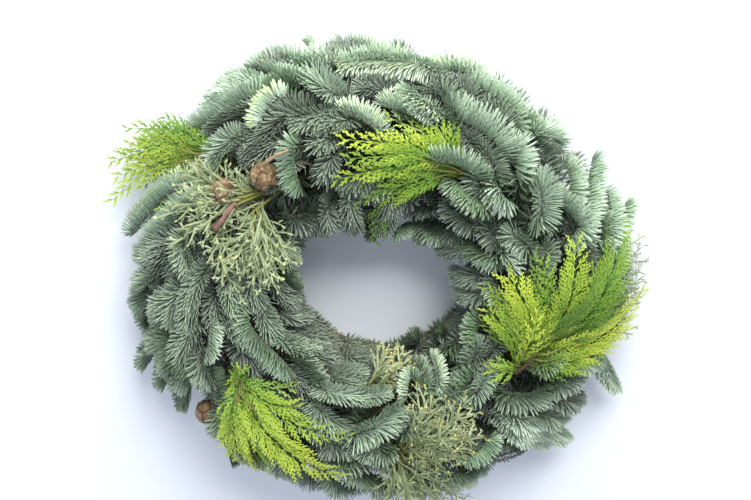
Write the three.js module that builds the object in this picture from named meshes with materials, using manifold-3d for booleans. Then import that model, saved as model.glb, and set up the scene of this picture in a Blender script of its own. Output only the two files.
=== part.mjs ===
// A fir wreath lying on its back: sprigs of noble fir, golden cypress fronds, grey-green cypress
// sprays, round cones and dry twigs, bound with wire on a half-round straw ring.
//
// The face of the wreath looks up (+Z) and its top edge is towards +Y. A place in the wreath is
// written [turn, radius, depth]: degrees round the ring from +X, millimetres from its centre, and
// millimetres below the domed top of the foliage (a minus depth stands proud of it).

import * as THREE from 'three';
import { mergeVertices } from 'three/addons/utils/BufferGeometryUtils.js';
import Module from 'manifold-3d';

// Driving dimensions, in millimetres
const RING_MEAN_RADIUS = 120;
const RING_HALF_WIDTH = 30;
const RING_HEIGHT = 40;
const RING_SEGMENTS = 32;
const RING_ARC_STEPS = 7;

const DOME_RADIUS = 150; // the foliage is highest on this circle
const DOME_HALF_WIDTH = 80;
const DOME_RISE = 75;
const DOME_EDGE_HEIGHT = 45;

const WIRE_RADIUS = 0.7;
const WIRE_TURNS = 12;
const WIRE_STEPS_PER_TURN = 8;
const WIRE_SIDES = 4;
const WIRE_LIFT = 8; // how far the wire stands off the straw over the bound stems
const WIRE_SIDE_LIFT = 0.5; // the share of that lift by which it stands off sideways
const WIRE_SIDE_GAP = 1.4;
const WIRE_FLOOR_GAP = 0.3;

const STEM_BED = -2; // height of a bound stem's cut end above the straw: it is pressed in
const STEM_RADIUS = 2.4;
const STEM_DEPTH = 0.6; // how far a stem runs below the top of its leaves, in half widths
const BOUGH_SIDES = 4;
const GAP = 0.35; // clearance that a piece leaves round the pieces laid over it

// Where a bough's leaves start, are fully out and start to close, as shares of their length, and how
// wide they are at the last two, as shares of the full body.
const LEAVES = { start: -0.12, full: 0.2, closing: 0.8, fullWidth: 0.9, closingWidth: 0.85 };
const CUT_END = 0.02; // the share of a bough's length in which its cut end reaches full thickness

// How a kind of greenery fills its half width: its body, and how flat that body is.
const FIR = { fullness: 0.8, flat: 1 };
const GOLDEN = { fullness: 0.8, flat: 0.35 };
const GREY = { fullness: 0.75, flat: 0.5 };

const CONE_RADIUS = 12.5;
const CONE_SIDES = 10;
const CONE_RINGS = 7;

const TWIG_STEPS = 6;
const TWIG_SIDES = 5;

// Fir sprigs, from the top of the heap downwards. bed: where the cut end is bound, as [turn, degrees
// round the straw's section from its outer flank]. Each shoot: where its needles start, its tip, and
// half its width, as [turn, radius, depth, turn, radius, depth, half width].
const FIR_SPRIGS = [
  // top of the ring, from the upper left round to the right
  { bed: [82, 40], shoots: [[106, 235, 4, 122, 238, 2, 14], [108, 226, 0, 116, 229, -2, 11],
    [115, 229, 2, 123, 232, 0, 11], [88, 226, 4, 104, 234, 2, 13], [90, 224, 2, 96, 241, 0, 10],
    [103, 226, 4, 107, 244, 4, 9]] },
  { bed: [68, 55], shoots: [[80, 212, 0, 101, 214, -3, 14], [99, 220, 0, 109, 206, -4, 12]] },
  { bed: [99, 55], shoots: [[112, 211, -6, 124, 196, -12, 10], [108, 210, 2, 118, 220, -2, 13],
    [117, 223, 2, 128, 222, 0, 11]] },
  { bed: [82, 75], shoots: [[91, 177, -2, 101, 193, -8, 13], [103, 183, 0, 115, 188, -5, 13],
    [98, 177, 0, 109, 178, -5, 12], [88, 195, 8, 97, 200, 6, 11], [111, 192, 4, 132, 190, 2, 14]] },
  { bed: [112, 50], shoots: [[121, 222, 2, 134, 229, 0, 12], [125, 211, 0, 140, 226, -2, 13],
    [129, 200, 0, 139, 203, -8, 12]] },
  { bed: [100, 100], shoots: [[116, 170, 0, 126, 134, -4, 12], [106, 150, 4, 114, 131, -2, 13],
    [104, 163, 4, 112, 165, 0, 12], [119, 155, 12, 134, 152, 10, 12]] },
  { bed: [60, 65], shoots: [[78, 182, 0, 91, 199, -4, 14], [79, 192, -4, 87, 205, -9, 11],
    [75, 179, 2, 87, 184, -5, 13], [72, 188, 0, 77, 211, -2, 12], [68, 200, 4, 75, 212, 2, 10]] },
  { bed: [38, 48], shoots: [[54, 182, -4, 73, 213, -10, 17], [62, 220, 2, 72, 234, 0, 12],
    [57, 211, 0, 70, 226, -3, 13], [56, 206, 2, 61, 224, 2, 10], [50, 204, 2, 58, 214, -2, 11]] },
  { bed: [20, 62], shoots: [[46, 172, -4, 54, 198, -12, 17], [51, 203, -2, 43, 216, 4, 12],
    [32, 170, 0, 45, 188, -6, 15], [29, 196, 2, 40, 213, 0, 13], [21, 195, 0, 37, 196, -4, 14]] },
  { bed: [0, 40], shoots: [[23, 206, 0, 31, 234, -2, 12], [16, 213, 3, 22, 233, 3, 11],
    [12, 205, 4, 23, 221, 2, 12], [8, 222, 2, 17, 250, 0, 11], [3, 215, 6, 9, 238, 6, 11]] },
  { bed: [46, 95], shoots: [[58, 152, -4, 76, 160, -11, 12], [50, 138, 0, 61, 153, -4, 15],
    [59, 128, 0, 79, 109, -4, 12], [50, 112, 4, 57, 93, 4, 12]] },
  { bed: [12, 110], shoots: [[30, 118, 0, 46, 118, -3, 13], [27, 102, 0, 44, 96, 0, 13],
    [28, 130, 0, 17, 113, -4, 12]] },
  // top of the hole, in the shade below the golden cypress
  { bed: [76, 112], shoots: [[88, 118, 6, 104, 104, 4, 13], [94, 126, 8, 110, 115, 6, 14],
    [76, 104, 10, 88, 86, 8, 12], [80, 150, 16, 94, 156, 14, 13]] },
  { bed: [94, 130], shoots: [[110, 98, 6, 125, 75, 6, 12], [122, 100, 6, 139, 82, 6, 11],
    [98, 88, 8, 103, 56, -30, 8]] },
  { bed: [30, 130], shoots: [[46, 77, 10, 74, 54, -20, 10], [44, 84, 26, 68, 66, 0, 10],
    [66, 94, 16, 82, 74, 12, 11]] },
  // right side of the hole
  { bed: [348, 120], shoots: [[3, 108, 4, 14, 97, 2, 12], [14, 97, 10, 4, 66, -10, 12],
    [2, 95, 10, 352, 68, -8, 12]] },
  { bed: [342, 80], shoots: [[350, 150, 16, 4, 165, 14, 13], [352, 125, 14, 10, 135, 14, 13],
    [2, 180, 12, 20, 178, 8, 13]] },
  // left side, from the top downwards
  { bed: [142, 45], shoots: [[150, 224, 2, 169, 247, 2, 16], [147, 214, 0, 168, 228, -4, 14],
    [174, 213, 2, 186, 241, 2, 13], [183, 226, 4, 196, 243, 2, 13]] },
  { bed: [144, 70], shoots: [[157, 172, 0, 170, 188, -8, 13], [162, 195, 4, 172, 228, 2, 14],
    [166, 198, 6, 178, 216, 4, 12], [163, 178, 10, 175, 196, 8, 13]] },
  { bed: [150, 80], shoots: [[166, 158, 0, 190, 177, -6, 13], [176, 182, 0, 187, 190, -10, 14],
    [182, 182, 2, 192, 200, -8, 14]] },
  { bed: [170, 60], shoots: [[190, 198, 2, 204, 193, 0, 15], [180, 197, 6, 193, 217, 4, 12],
    [198, 176, 4, 208, 182, 2, 12], [204, 174, 8, 217, 182, 6, 12]] },
  { bed: [164, 90], shoots: [[185, 152, -4, 199, 166, -8, 9], [186, 172, 10, 198, 180, 6, 13],
    [176, 152, 8, 191, 151, 6, 12]] },
  { bed: [178, 40], shoots: [[192, 214, 4, 204, 256, 4, 12], [198, 220, 2, 208, 258, 2, 12],
    [196, 205, 4, 207, 232, 2, 12], [202, 205, 6, 212, 217, 4, 11]] },
  { bed: [170, 110], shoots: [[190, 119, -2, 219, 112, -10, 14], [196, 136, 8, 213, 129, 6, 14]] },
  { bed: [150, 105], shoots: [[168, 142, 4, 186, 126, -2, 14], [184, 139, 4, 199, 127, 0, 13],
    [158, 118, 8, 172, 104, 6, 13]] },
  { bed: [140, 110], shoots: [[148, 104, 6, 162, 86, 4, 12], [163, 96, 10, 181, 74, 5, 12],
    [176, 98, 14, 193, 80, 12, 11]] },
  // bottom of the ring, from the left to the right
  { bed: [190, 112], shoots: [[203, 101, 2, 219, 84, -6, 12], [192, 96, 14, 208, 73, 14, 11],
    [214, 101, 0, 238, 92, -4, 14], [220, 113, 6, 234, 112, 4, 13], [213, 92, 6, 224, 74, 2, 9]] },
  { bed: [218, 90], shoots: [[233, 111, 4, 247, 122, 0, 14], [238, 128, 4, 253, 146, 0, 15],
    [226, 128, 12, 240, 136, 10, 13]] },
  { bed: [226, 120], shoots: [[240, 98, -2, 276, 93, -10, 13], [240, 84, 8, 260, 86, 6, 12],
    [246, 78, 10, 262, 74, 4, 9]] },
  { bed: [284, 85], shoots: [[272, 140, -2, 264, 110, -8, 10], [272, 138, -4, 272, 103, -10, 10],
    [274, 138, -4, 283, 113, -10, 10], [270, 144, 0, 258, 126, -4, 10]] },
  { bed: [238, 65], shoots: [[250, 150, 4, 266, 142, 0, 13], [254, 168, 4, 268, 158, 0, 13],
    [258, 182, 6, 272, 182, 6, 13]] },
  { bed: [274, 115], shoots: [[284, 102, -2, 283, 76, -8, 11], [294, 101, -2, 290, 79, -6, 10],
    [303, 98, -2, 296, 72, -4, 11], [302, 108, 2, 309, 82, -4, 11], [292, 85, 54, 299, 67, -13, 11]] },
  { bed: [300, 122], shoots: [[331, 97, 0, 349, 84, 0, 13], [322, 104, 0, 338, 98, -4, 14],
    [318, 86, 8, 334, 92, 4, 13], [310, 88, 62, 318, 78, 18, 10]] },
  { bed: [296, 100], shoots: [[300, 116, 0, 313, 108, -3, 13], [310, 113, 0, 327, 105, -3, 13],
    [314, 124, 0, 331, 117, -4, 12]] },
  { bed: [304, 60], shoots: [[322, 148, 4, 328, 194, 0, 15], [316, 164, 6, 322, 201, 4, 14],
    [314, 190, 6, 310, 248, 2, 12]] },
  { bed: [284, 50], shoots: [[298, 178, 0, 311, 170, -6, 11], [296, 184, 2, 309, 208, 0, 13],
    [289, 190, 6, 300, 228, 4, 14]] },
  { bed: [322, 45], shoots: [[340, 192, 4, 331, 260, 2, 11], [338, 158, 6, 348, 172, 2, 13],
    [332, 184, 10, 338, 214, 8, 11], [348, 205, 6, 0, 236, 6, 13]] },
  { bed: [230, 45], shoots: [[246, 192, 4, 257, 233, 4, 14], [256, 198, 4, 266, 230, 4, 14],
    [240, 190, 4, 249, 230, 4, 13], [267, 192, 6, 277, 230, 6, 13], [278, 188, 8, 286, 231, 6, 13]] },
  { bed: [208, 50], shoots: [[224, 214, 6, 236, 262, 4, 12], [220, 205, 8, 231, 240, 8, 12],
    [230, 202, 4, 241, 230, 4, 13]] },
];

// The bottom layer: the same low sprig all round, its outer shoots just clear of the ground. These
// shoots are written with the height of their upper side in place of the depth.
const LOW_SPRIGS = 6;
const LOW_SPRIG = { bed: [0, 25], shoots: [[18, 166, 34, 27, 228, 27, 13], [30, 164, 38, 41, 234, 30, 13],
  [46, 166, 34, 55, 226, 26, 13], [60, 164, 38, 70, 232, 29, 13], [26, 180, 66, 42, 208, 62, 13],
  [50, 178, 70, 68, 212, 60, 13], [32, 92, 50, 54, 85, 56, 10], [4, 92, 46, 26, 83, 44, 10]] };

// Golden cypress: flat fronds fanned from one stem. Each frond: start, tip and half its width.
const GOLDEN_CYPRESS = [
  { bed: [52, 85], fronds: [[62, 147, -4, 103, 164, -10, 13], [64, 145, -4, 109, 131, -9, 13],
    [66, 140, -2, 92, 100, -6, 12], [66, 151, -2, 76, 179, -6, 13], [68, 148, -7, 100, 147, -13, 12]] },
  { bed: [324, 80], fronds: [[340, 146, -6, 20, 190, -12, 22], [342, 143, -8, 18, 137, -14, 20],
    [338, 138, -4, 3, 101, -8, 15], [335, 140, -2, 331, 108, -6, 10], [344, 150, -4, 17, 224, -8, 18],
    [342, 152, 0, 356, 250, -4, 15], [338, 152, 0, 343, 218, -2, 13]] },
  { bed: [120, 45], fronds: [[138, 214, 0, 155, 272, 6, 15], [138, 216, -2, 145, 257, 4, 13],
    [140, 214, 2, 162, 260, 6, 14]] },
  { bed: [194, 75], fronds: [[209, 155, -4, 240, 130, -10, 16], [209, 158, -6, 258, 172, -12, 18],
    [210, 164, -4, 238, 240, -6, 17], [212, 168, -2, 225, 232, -4, 13], [214, 160, 2, 251, 248, 0, 14]] },
];

// Grey-green cypress: loose feathery sprays, some tipped with pollen cones.
const GREY_CYPRESS = [
  { bed: [120, 85], fronds: [[136, 160, -4, 146, 216, -8, 14], [138, 160, -6, 158, 205, -10, 14],
    [138, 156, -6, 161, 182, -12, 14], [138, 152, -6, 157, 110, -10, 16], [140, 158, -6, 171, 136, -10, 14],
    [136, 150, -2, 143, 108, -4, 12]] },
  { bed: [262, 80], fronds: [[278, 148, -2, 294, 102, -10, 14], [280, 152, -4, 308, 122, -10, 15],
    [278, 158, -2, 304, 150, -8, 14], [276, 162, 0, 288, 232, 2, 15], [274, 160, 0, 275, 214, 2, 11]] },
  { bed: [262, 125], fronds: [[262, 92, 2, 272, 72, -6, 9], [270, 92, 4, 287, 72, 4, 8]] },
  { bed: [338, 50], fronds: [[348, 205, 4, 4, 254, 4, 12], [344, 210, 6, 349, 262, 6, 9]] },
];

// Cones: middle, as a place in the wreath.
const CONES = [[129, 162, -6], [142, 175, 2], [217, 212, 6]];

// Dry twigs: points along each one, as places, and the half width.
const TWIGS = [
  { points: [[126, 157, 20], [123, 170, 2], [121, 176, -8], [118, 177, -15], [116.5, 171, -16]],
    radius: 2.2 },
  { points: [[151, 170, 6], [146, 170, -6], [142, 166, -12], [138.5, 163, -13]], radius: 3.2 },
];

const wasm = await Module();
wasm.setup();

// ---- places, paths and solids -------------------------------------------------------------------

function domeHeight(radius) {
  const share = (radius - DOME_RADIUS) / DOME_HALF_WIDTH;
  return DOME_EDGE_HEIGHT + DOME_RISE * Math.sqrt(Math.max(0, 1 - share * share));
}

function onCircle(turn, radius, height) {
  const angle = THREE.MathUtils.degToRad(turn);
  return new THREE.Vector3(radius * Math.cos(angle), radius * Math.sin(angle), height);
}

function place(turn, radius, depth) {
  return onCircle(turn, radius, domeHeight(radius) - depth);
}

// The direction that looks straight out of the dome.
function outOfDome(turn, radius) {
  const slope = (domeHeight(radius + 1) - domeHeight(radius - 1)) / 2;
  return onCircle(turn, -slope, 1).normalize();
}

// A point on the straw's rounded top, raised above it by lift.
function onStraw([turn, around], lift) {
  const angle = THREE.MathUtils.degToRad(around);
  const radius = RING_MEAN_RADIUS + (RING_HALF_WIDTH + lift) * Math.cos(angle);
  return onCircle(turn, radius, (RING_HEIGHT + lift) * Math.sin(angle));
}

// A closed manifold solid from a closed three.js geometry.
function toSolid(geometry) {
  geometry.deleteAttribute('normal');
  geometry.deleteAttribute('uv');
  const merged = mergeVertices(geometry, 1e-4);
  const corners = merged.index.array;
  const kept = [];
  for (let i = 0; i < corners.length; i += 3) {
    const [a, b, c] = [corners[i], corners[i + 1], corners[i + 2]];
    if (a !== b && b !== c && c !== a) kept.push(a, b, c);
  }
  return new wasm.Manifold(new wasm.Mesh({
    numProp: 3,
    vertProperties: Float32Array.from(merged.attributes.position.array),
    triVerts: Uint32Array.from(kept),
  }));
}

function toGeometry(solid) {
  const mesh = solid.getMesh();
  const geometry = new THREE.BufferGeometry();
  geometry.setAttribute('position', new THREE.BufferAttribute(mesh.vertProperties, 3));
  geometry.setIndex(new THREE.BufferAttribute(mesh.triVerts, 1));
  return geometry;
}

// A lathe-turned spindle bent along a path. profile: [share of the length, radius] pairs from end to
// end; across is the way its width lies; flat squashes it to a blade; grow makes it larger all over.
function spindle(path, profile, across, flat, grow) {
  const outline = profile.map(([share, radius]) => (
    new THREE.Vector2(radius === 0 ? 0 : radius + grow, share)
  ));
  const geometry = new THREE.LatheGeometry(outline, BOUGH_SIDES);
  const position = geometry.attributes.position;
  for (let i = 0; i < position.count; i += 1) {
    const share = position.getY(i);
    const middle = path.getPointAt(share);
    const along = path.getTangentAt(share);
    const face = new THREE.Vector3().crossVectors(across, along).normalize();
    const side = new THREE.Vector3().crossVectors(along, face);
    const reach = Math.hypot(position.getX(i), position.getZ(i));
    const squash = reach > 0 ? flat + (1 - flat) * (grow / reach) : 1;
    const endShift = share === 0 ? -grow : (share === 1 ? grow : 0);
    middle.addScaledVector(side, position.getX(i));
    middle.addScaledVector(face, position.getZ(i) * squash);
    middle.addScaledVector(along, endShift);
    position.setXYZ(i, middle.x, middle.y, middle.z);
  }
  return toSolid(geometry);
}

// A rod of constant thickness along a path.
function tube(path, radius, steps, sides) {
  const circle = new THREE.Path().absarc(0, 0, radius, 0, 2 * Math.PI);
  const section = new THREE.Shape(circle.getSpacedPoints(sides).slice(0, sides));
  return toSolid(new THREE.ExtrudeGeometry(section, {
    steps, curveSegments: sides, bevelEnabled: false, extrudePath: path,
  }));
}

// ---- the pieces ---------------------------------------------------------------------------------

// The straw ring: half-round, flat below.
function strawRing(grow) {
  const outline = [];
  for (let i = 0; i <= RING_ARC_STEPS; i += 1) {
    const angle = (Math.PI * i) / RING_ARC_STEPS;
    const radius = RING_MEAN_RADIUS + (RING_HALF_WIDTH + grow) * Math.cos(angle);
    const onFlank = i === 0 || i === RING_ARC_STEPS;
    outline.push(new THREE.Vector2(radius, onFlank ? 0 : (RING_HEIGHT + grow) * Math.sin(angle)));
  }
  outline.push(outline[0].clone());
  const geometry = new THREE.LatheGeometry(outline, RING_SEGMENTS);
  geometry.rotateX(Math.PI / 2);
  return toSolid(geometry);
}

// One length of wire wound round the ring and the bound stems, its two ends meeting on one flank.
function bindingWire(grow) {
  const points = [];
  const steps = WIRE_TURNS * WIRE_STEPS_PER_TURN;
  const floor = WIRE_FLOOR_GAP + WIRE_RADIUS;
  for (let i = 0; i < steps; i += 1) {
    const turn = (360 * i) / steps;
    const angle = (2 * Math.PI * (i + 0.5)) / WIRE_STEPS_PER_TURN;
    const lift = WIRE_LIFT * Math.max(0, Math.sin(angle));
    const sideways = RING_HALF_WIDTH + WIRE_SIDE_GAP + WIRE_SIDE_LIFT * lift;
    const height = Math.max(floor, (RING_HEIGHT + lift) * Math.sin(angle));
    points.push(onCircle(turn, RING_MEAN_RADIUS + sideways * Math.cos(angle), height));
  }
  const path = new THREE.CatmullRomCurve3(points, false, 'catmullrom', 0);
  return tube(path, WIRE_RADIUS + grow, steps, WIRE_SIDES);
}

// A bough from its bound end to its tip: a thin stem, then the body of its leaves.
function bough(bed, [turn0, radius0, depth0, turn1, radius1, depth1, halfWidth], greenery, grow) {
  const end = onStraw(bed, STEM_BED);
  const midTurn = (turn0 + turnNear(turn1, turn0)) / 2;
  const midRadius = (radius0 + radius1) / 2;
  const inset = halfWidth * STEM_DEPTH;
  const start = place(turn0, radius0, depth0 + inset);
  const middle = place(midTurn, midRadius, (depth0 + depth1) / 2 + inset);
  const tip = place(turn1, radius1, depth1 + inset);
  const across = tip.clone().sub(start).cross(outOfDome(midTurn, midRadius)).normalize();
  const path = new THREE.CatmullRomCurve3([end, start, middle, tip], false, 'centripetal');
  path.arcLengthDivisions = 60;
  const leaves = start.distanceTo(middle) + middle.distanceTo(tip);
  const bare = 1 - leaves / path.getLength();
  const at = (share) => bare + (1 - bare) * share;
  const body = halfWidth * greenery.fullness;
  const profile = [[0, 0], [CUT_END, STEM_RADIUS], [at(LEAVES.start), STEM_RADIUS],
    [at(LEAVES.full), body * LEAVES.fullWidth], [at(LEAVES.closing), body * LEAVES.closingWidth], [1, 0]];
  return spindle(path, profile, across, greenery.flat, grow);
}

// A shoot of the bottom layer, turned to its sector, with its heights made depths below the dome.
function lowShoot([turn0, radius0, height0, turn1, radius1, height1, halfWidth], sector) {
  return [turn0 + sector, radius0, domeHeight(radius0) - height0,
    turn1 + sector, radius1, domeHeight(radius1) - height1, halfWidth];
}

// The same turn as a, written within half a circle of b.
function turnNear(a, b) {
  return a + 360 * Math.round((b - a) / 360);
}

// Boughs that grow from one bound stem.
function sprig(bed, boughs, greenery, grow) {
  const solids = boughs.map((row) => bough(bed, row, greenery, grow));
  return solids.reduce((whole, next) => whole.add(next));
}

function cone([turn, radius, depth], grow) {
  const middle = place(turn, radius, depth + CONE_RADIUS);
  const geometry = new THREE.SphereGeometry(CONE_RADIUS + grow, CONE_SIDES, CONE_RINGS);
  geometry.rotateX(Math.PI / 2);
  geometry.translate(middle.x, middle.y, middle.z);
  return toSolid(geometry);
}

function twig({ points, radius }, grow) {
  const path = new THREE.CatmullRomCurve3(points.map((point) => place(...point)));
  return tube(path, radius + grow, TWIG_STEPS, TWIG_SIDES);
}

// ---- laying them together -----------------------------------------------------------------------

const laid = []; // each piece laid so far: its grown copy and its box

function boxesMeet(a, b) {
  return [0, 1, 2].every((axis) => a.min[axis] <= b.max[axis] && b.min[axis] <= a.max[axis]);
}

// Lay a piece: cut it back from everything laid before it, and keep its largest body.
function lay(make) {
  let solid = make(0);
  const box = solid.boundingBox();
  for (const other of laid) {
    if (boxesMeet(box, other.box)) solid = solid.subtract(other.grown);
  }
  const grown = make(GAP);
  laid.push({ grown, box: grown.boundingBox() });
  const bodies = solid.decompose();
  return bodies.reduce((best, next) => (next.volume() > best.volume() ? next : best));
}

const wreath = new THREE.Group();

function addPiece(name, solid, color, roughness, metalness = 0) {
  const material = new THREE.MeshStandardMaterial({ color, roughness, metalness });
  const mesh = new THREE.Mesh(toGeometry(solid), material);
  mesh.name = name;
  wreath.add(mesh);
}

function numbered(name, index) {
  return `${name}_${String(index + 1).padStart(2, '0')}`;
}

addPiece('binding_wire', lay((grow) => bindingWire(grow)), '#4c5a48', 0.4, 0.8);
addPiece('straw_ring', lay((grow) => strawRing(grow)), '#c9ac6b', 0.85);
CONES.forEach((spot, i) => {
  addPiece(numbered('cone', i), lay((grow) => cone(spot, grow)), '#8a5f40', 0.6);
});
TWIGS.forEach((row, i) => {
  addPiece(numbered('dry_twig', i), lay((grow) => twig(row, grow)), '#a88468', 0.8);
});
GOLDEN_CYPRESS.forEach(({ bed, fronds }, i) => {
  const solid = lay((grow) => sprig(bed, fronds, GOLDEN, grow));
  addPiece(numbered('golden_cypress', i), solid, '#a9cf3f', 0.6);
});
GREY_CYPRESS.forEach(({ bed, fronds }, i) => {
  const solid = lay((grow) => sprig(bed, fronds, GREY, grow));
  addPiece(numbered('grey_cypress', i), solid, '#aab78e', 0.7);
});
FIR_SPRIGS.forEach(({ bed, shoots }, i) => {
  const solid = lay((grow) => sprig(bed, shoots, FIR, grow));
  addPiece(numbered('fir_sprig', i), solid, '#6f8a78', 0.65);
});
for (let i = 0; i < LOW_SPRIGS; i += 1) {
  const sector = (360 * i) / LOW_SPRIGS;
  const bed = [LOW_SPRIG.bed[0] + sector, LOW_SPRIG.bed[1]];
  const shoots = LOW_SPRIG.shoots.map((row) => lowShoot(row, sector));
  const solid = lay((grow) => sprig(bed, shoots, FIR, grow));
  addPiece(numbered('low_fir_sprig', i), solid, '#5c7768', 0.65);
}

// Put the origin under the middle of the wreath's box.
const box = new THREE.Box3().setFromObject(wreath);
const middle = box.getCenter(new THREE.Vector3());
wreath.position.set(-middle.x, -middle.y, 0);

export default wreath;
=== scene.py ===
# %% [markdown]
# # A fir wreath on a straw ring
#
# The wreath lies on its back. Sprigs of noble fir are bound round a half-round straw ring, each
# laid over the stem of the one before it, with golden cypress, grey-green cypress, three round
# cones and two dry twigs tucked in between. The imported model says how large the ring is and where
# it lies. It holds every shoot as a plain spindle; here each one gets its needles.

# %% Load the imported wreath
from dataclasses import dataclass, fields

import bpy
import numpy as np
from mathutils import Matrix, Vector


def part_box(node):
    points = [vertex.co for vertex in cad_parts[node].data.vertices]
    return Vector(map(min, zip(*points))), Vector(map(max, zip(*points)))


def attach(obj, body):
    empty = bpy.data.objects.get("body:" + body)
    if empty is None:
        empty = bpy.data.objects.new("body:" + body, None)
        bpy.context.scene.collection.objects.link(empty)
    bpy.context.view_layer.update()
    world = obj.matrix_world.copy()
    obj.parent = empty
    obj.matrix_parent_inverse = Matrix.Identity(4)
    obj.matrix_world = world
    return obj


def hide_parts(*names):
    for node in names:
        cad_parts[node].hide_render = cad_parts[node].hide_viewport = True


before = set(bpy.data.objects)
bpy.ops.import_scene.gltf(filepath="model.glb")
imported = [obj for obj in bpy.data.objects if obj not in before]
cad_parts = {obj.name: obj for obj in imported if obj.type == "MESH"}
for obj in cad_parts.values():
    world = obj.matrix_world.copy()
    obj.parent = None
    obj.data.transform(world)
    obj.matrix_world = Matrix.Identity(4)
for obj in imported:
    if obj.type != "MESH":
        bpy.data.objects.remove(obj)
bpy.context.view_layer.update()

# %% [markdown]
# ## The camera, the light and the table
#
# The camera looks down on the wreath, leaning a little over its top edge, from about a metre. A
# large soft lamp stands low beyond the top edge, so the lower side of every shoot falls into shade
# and the hole too, and a pale blue sky fills the shadows. The table is a plain pale sheet.

# %% Camera
ring_low, ring_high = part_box("straw_ring")
RING_CENTRE = np.array([(ring_low.x + ring_high.x) / 2, (ring_low.y + ring_high.y) / 2, 0.0])

CAMERA_LEAN = np.radians(22)
CAMERA_DISTANCE = 1.05
CAMERA_LENS = 53.0
CAMERA_AIM = RING_CENTRE + [-0.006, 0.028, 0.039]

camera_data = bpy.data.cameras.new("camera")
camera_data.lens = CAMERA_LENS
camera = bpy.data.objects.new("camera", camera_data)
camera_way = np.array([0, np.sin(CAMERA_LEAN), np.cos(CAMERA_LEAN)])
camera.location = CAMERA_AIM + CAMERA_DISTANCE * camera_way
camera.rotation_euler = (-CAMERA_LEAN, 0, 0)
bpy.context.scene.collection.objects.link(camera)
bpy.context.scene.camera = camera
print("ring centre, metres:", RING_CENTRE.round(4).tolist())
print("camera, metres:", np.round(camera.location, 3).tolist())

# %% Lamps and sky
SKY_COLOUR = (0.83, 0.89, 1.0, 1)
SKY_STRENGTH = 0.65
LAMPS_FACE = Vector((0, 0, 0.05))


def soft_lamp(name, place, size, power, colour):
    """A square lamp of that size in metres and power in watts, turned to face the wreath."""
    data = bpy.data.lights.new(name, "AREA")
    data.size = size
    data.energy = power
    data.color = colour
    lamp = bpy.data.objects.new(name, data)
    lamp.location = place
    lamp.rotation_euler = (LAMPS_FACE - lamp.location).to_track_quat("-Z", "Y").to_euler()
    bpy.context.scene.collection.objects.link(lamp)


soft_lamp("lamp_over_top_edge", (0.3, 1.55, 1.2), 1.1, 64.0, (1.0, 0.98, 0.94))
soft_lamp("lamp_low_left", (-1.5, -0.4, 0.9), 1.2, 7.0, (0.9, 0.95, 1.0))

sky = bpy.data.worlds.new("pale_sky")
sky.use_nodes = True
sky_light = sky.node_tree.nodes["Background"]
sky_light.inputs["Color"].default_value = SKY_COLOUR
sky_light.inputs["Strength"].default_value = SKY_STRENGTH
bpy.context.scene.world = sky
bpy.context.scene.view_settings.view_transform = "Standard"
print("lamps:", [lamp.name for lamp in bpy.data.lights])

# %% Table
TABLE_COLOUR = (0.8, 0.835, 0.91, 1)
TABLE_HALF = 4.0


def principled(name, roughness):
    """A new material with its Principled shader, and its node tree."""
    material = bpy.data.materials.new(name)
    material.use_nodes = True
    shader = material.node_tree.nodes["Principled BSDF"]
    shader.inputs["Roughness"].default_value = roughness
    return material, material.node_tree, shader


table_paint, _, shader = principled("table_paint", 0.7)
shader.inputs["Base Color"].default_value = TABLE_COLOUR
table_mesh = bpy.data.meshes.new("table")
table_corners = [(x * TABLE_HALF, y * TABLE_HALF, 0) for x, y in ((-1, -1), (1, -1), (1, 1), (-1, 1))]
table_mesh.from_pydata(table_corners, [], [(0, 1, 2, 3)])
table_mesh.materials.append(table_paint)
table = bpy.data.objects.new("table", table_mesh)
bpy.context.scene.collection.objects.link(table)
print("table, metres across:", 2 * TABLE_HALF)

# %% [markdown]
# ## Places in the wreath
#
# A place is written as turn, radius and depth: degrees round the ring from its right-hand side,
# millimetres from its centre, and millimetres below the domed top of the foliage. That is how a
# florist thinks of it, and it keeps every sprig on the ring whichever way the wreath is laid.

# %% Turning places into points
MM = 0.001
STRAW_HALF_WIDTH = 30
STRAW_RADIUS = (ring_high.x - ring_low.x) / 2 / MM - STRAW_HALF_WIDTH
STRAW_HEIGHT = ring_high.z / MM
DOME_RADIUS = 150
DOME_HALF_WIDTH = 80
DOME_RISE = 75
DOME_EDGE_HEIGHT = 45
STEM_BED = -2  # above the straw, so the bound ends start just inside it
FLOOR_GAP = 1.0
HIGHEST_TIP = 146.0


def unit(vectors):
    """Each vector divided by its own length."""
    return vectors / np.maximum(np.linalg.norm(vectors, axis=-1, keepdims=True), 1e-9)


def dome_height(radius):
    """The height of the foliage: half an ellipse over the ring, standing on its edge height."""
    share = (np.asarray(radius, float) - DOME_RADIUS) / DOME_HALF_WIDTH
    return DOME_EDGE_HEIGHT + DOME_RISE * np.sqrt(np.maximum(0, 1 - share**2))


def on_circle(turn, radius, height):
    """The point at that angle and distance from the ring's axis, and that height, in millimetres."""
    angle = np.radians(turn)
    return np.stack(np.broadcast_arrays(radius * np.cos(angle), radius * np.sin(angle), height), -1)


def place(turn, radius, depth):
    """The point that lies depth below the dome."""
    return on_circle(turn, radius, dome_height(radius) - depth)


def out_of_dome(turn, radius):
    """The way straight out of the dome: level steps inwards by the slope for each step up."""
    slope = (dome_height(radius + 1) - dome_height(radius - 1)) / 2
    return unit(on_circle(turn, -slope, 1.0))


def on_straw(turn, around, lift):
    """The point on the straw's half-round top, at an angle round its section, raised by lift."""
    angle = np.radians(around)
    radius = STRAW_RADIUS + (STRAW_HALF_WIDTH + lift) * np.cos(angle)
    return on_circle(turn, radius, (STRAW_HEIGHT + lift) * np.sin(angle))


print("straw ring, radius and height in mm:", round(STRAW_RADIUS, 1), round(STRAW_HEIGHT, 1))

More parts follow.
